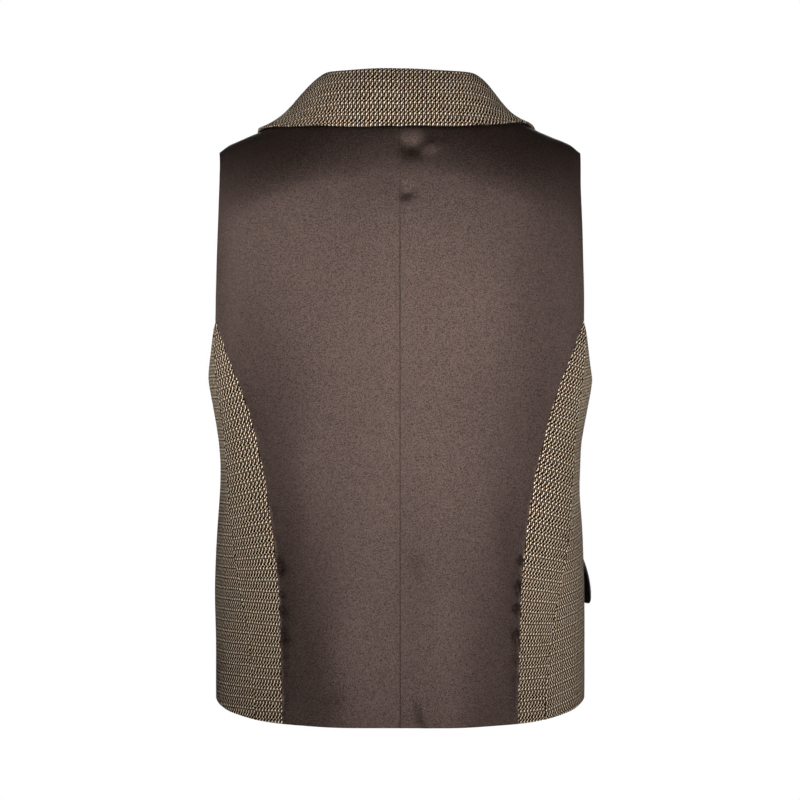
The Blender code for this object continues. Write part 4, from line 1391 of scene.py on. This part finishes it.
def make_buttonhole(name, height, material):
    """A row of stitches round a slit, in the cloth beside a button."""
    drop = float(drop_at(1.0, height))
    ends = []
    for x in np.linspace(BUTTONHOLE_FROM, BUTTONHOLE_TO, BUTTONHOLE_STITCHES):
        around = 1 - float(around_of_x(abs(x), height))
        side_x = 1 if x >= 0 else -1
        for sign in (1, -1):
            pair = []
            for reach in (STITCH_FROM * STITCH_REACH, STITCH_REACH):
                point = surface(1, around, drop + sign * reach, STITCH_LIFT)
                pair.append(tuple(point * np.array([side_x, 1, 1])))
            ends.append(pair)
    return stitches(name, ends, STITCH_RADIUS, Matrix.Identity(4), material)


# ---- Camera, light and room.

CAMERA_PLACE = (0.0, 2.10, -0.27)
CAMERA_LENS = 99.45
LOOK_AT = (0.0, 0.0, -0.27)
# Lamps: degrees to the camera's right and up, and metres, from the height that each aims at; then its size,
# how wide its beam is in degrees, and watts.
LAMPS = table(
    "name right up away aim width height beam power",
    ("key", 0, -8, 2.6, -0.22, 0.7, 0.5, 18, 0.83),
    ("key_fill", 0, -14, 2.4, -0.27, 0.9, 0.6, 180, 6.2),
    ("key_middle", -2, 5, 2.6, -0.27, 0.9, 0.7, 180, 3.8),
    ("key_low", -6, -18, 2.4, -0.54, 0.6, 0.4, 14, 0.08),
    ("right", 20, 5, 2.2, -0.30, 0.6, 0.9, 180, 20.0),
    ("right_high", 45, 28, 2.0, -0.27, 0.7, 0.6, 180, 6.9),
    ("upper_left", -40, 14, 2.0, -0.15, 0.5, 0.4, 24, 0.54),
    ("armhole_left", -84, 6, 2.0, -0.18, 0.3, 0.3, 9, 0.15),
    ("low_left", -78, -4, 2.0, -0.54, 0.3, 0.3, 10, 0.01),
    ("armhole_right", 84, 4, 2.0, -0.19, 0.3, 0.3, 12, 0.09),
    ("armhole_right_low", 84, -14, 2.0, -0.21, 0.4, 0.4, 20, 0.13),
    ("front_left", 187, 14, 2.5, -0.30, 0.8, 1.0, 180, 20.0),
    ("front_right", 173, 14, 2.5, -0.30, 0.8, 1.0, 180, 20.0),
)
AMBIENT = 0.01
FLOOR_HEIGHT = -0.95
FLOOR_RADIUS = 1.2
BACKDROP_RADIUS = 9.0


def point_along(made, aim):
    made.rotation_euler = aim.to_track_quat("-Z", "Y").to_euler()


def make_camera():
    camera = add_object("camera", bpy.data.cameras.new("camera"))
    camera.data.lens = CAMERA_LENS
    camera.location = CAMERA_PLACE
    point_along(camera, Vector(LOOK_AT) - Vector(CAMERA_PLACE))
    bpy.context.scene.camera = camera


def make_lights():
    for lamp in LAMPS:
        light = bpy.data.lights.new(lamp.name, "AREA")
        light.shape = "RECTANGLE"
        light.size, light.size_y = lamp.width, lamp.height
        light.energy = lamp.power
        light.spread = math.radians(lamp.beam)
        made = add_object(lamp.name, light)
        right, up = math.radians(lamp.right), math.radians(lamp.up)
        aim = Vector((math.sin(right) * math.cos(up), -math.cos(right) * math.cos(up), -math.sin(up)))
        made.location = Vector((0, 0, lamp.aim)) - aim * lamp.away
        point_along(made, aim)
    world = bpy.data.worlds.new("studio")
    world.use_nodes = True
    background = world.node_tree.nodes["Background"]
    background.inputs["Color"].default_value = (1, 1, 1, 1)
    background.inputs["Strength"].default_value = AMBIENT
    bpy.context.scene.world = world


def make_room():
    """A pale floor, and a white backdrop all round that only the camera sees."""
    floor_material, _, _ = new_material("floor", Base_Color=(0.8, 0.8, 0.79, 1), Roughness=0.8)
    bpy.ops.mesh.primitive_cylinder_add(vertices=96, radius=FLOOR_RADIUS, depth=0.02)
    floor = bpy.context.object
    floor.name = "floor"
    floor.location.z = FLOOR_HEIGHT
    floor.data.materials.append(floor_material)

    white = bpy.data.materials.new("backdrop")
    white.use_nodes = True
    white.node_tree.nodes.clear()
    glow = node(white.node_tree, "Emission", {"Color": (1, 1, 1, 1), "Strength": 1.0})
    node(white.node_tree, "OutputMaterial", {"Surface": glow.outputs["Emission"]})
    bpy.ops.mesh.primitive_uv_sphere_add(segments=48, ring_count=24, radius=BACKDROP_RADIUS)
    backdrop = bpy.context.object
    backdrop.name = "backdrop"
    backdrop.data.materials.append(white)
    for ray in ("diffuse", "glossy", "transmission", "volume_scatter", "shadow"):
        setattr(backdrop, "visible_" + ray, False)


# Each piece's flat cut: the width and length of the cloth it is cut from, and its own area.
Cut = namedtuple("Cut", "width length area")


def finish_piece(made, node_name):
    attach(made, "root")
    if node_name:
        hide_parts(node_name)


def main():
    tweed = make_tweed("tweed", SIDE_YARN)
    collar_tweed = make_tweed("collar_tweed", COLLAR_YARN)
    satin = make_satin("satin", BROWN_SATIN)
    black_satin = make_satin("black_satin", BLACK_SATIN)
    horn = make_horn()
    thread, _, _ = new_material("thread", Base_Color=(0.020, 0.014, 0.010, 1), Roughness=0.7)

    side_and_front = (TWEED_WALL, tweed, "tweed")
    panels = (
        ("back", back_grids, back_grain, SATIN_WALL, satin, "satin", 1, True),
        ("side_back", side_back_grids, side_back_grain, *side_and_front, PUCKER_ON_TWEED, False),
        ("front", front_grids, front_grain, *side_and_front, 0, False),
    )
    for word, side in {"left": 1, "right": -1}.items():
        for part, grids, grain, wall, cloth, slot, puckered, dented in panels:
            name = f"{part}_{word}"
            shape = (side, grids(), wall, grain, puckered, dented)
            finish_piece(make_panel(name + "_shell", *shape, cloth, satin), name)
        made = make_flap(f"pocket_flap_{word}_shell", side, black_satin, black_satin)
        finish_piece(made, f"pocket_flap_{word}")
    finish_piece(make_collar(collar_tweed), "collar")
    for number in range(BUTTON_COUNT):
        height = BUTTON_TOP - number * BUTTON_SPACING
        place = front_seat(height)
        button = make_button(f"button_{number + 1}_turned", place, horn)
        finish_piece(button, f"button_{number + 1}")
        finish_piece(make_thread(f"button_thread_{number + 1}", place, thread), None)
        finish_piece(make_buttonhole(f"buttonhole_{number + 1}", height, thread), None)

    make_camera()
    make_lights()
    make_room()
    bpy.context.scene.view_settings.view_transform = "Standard"


main()
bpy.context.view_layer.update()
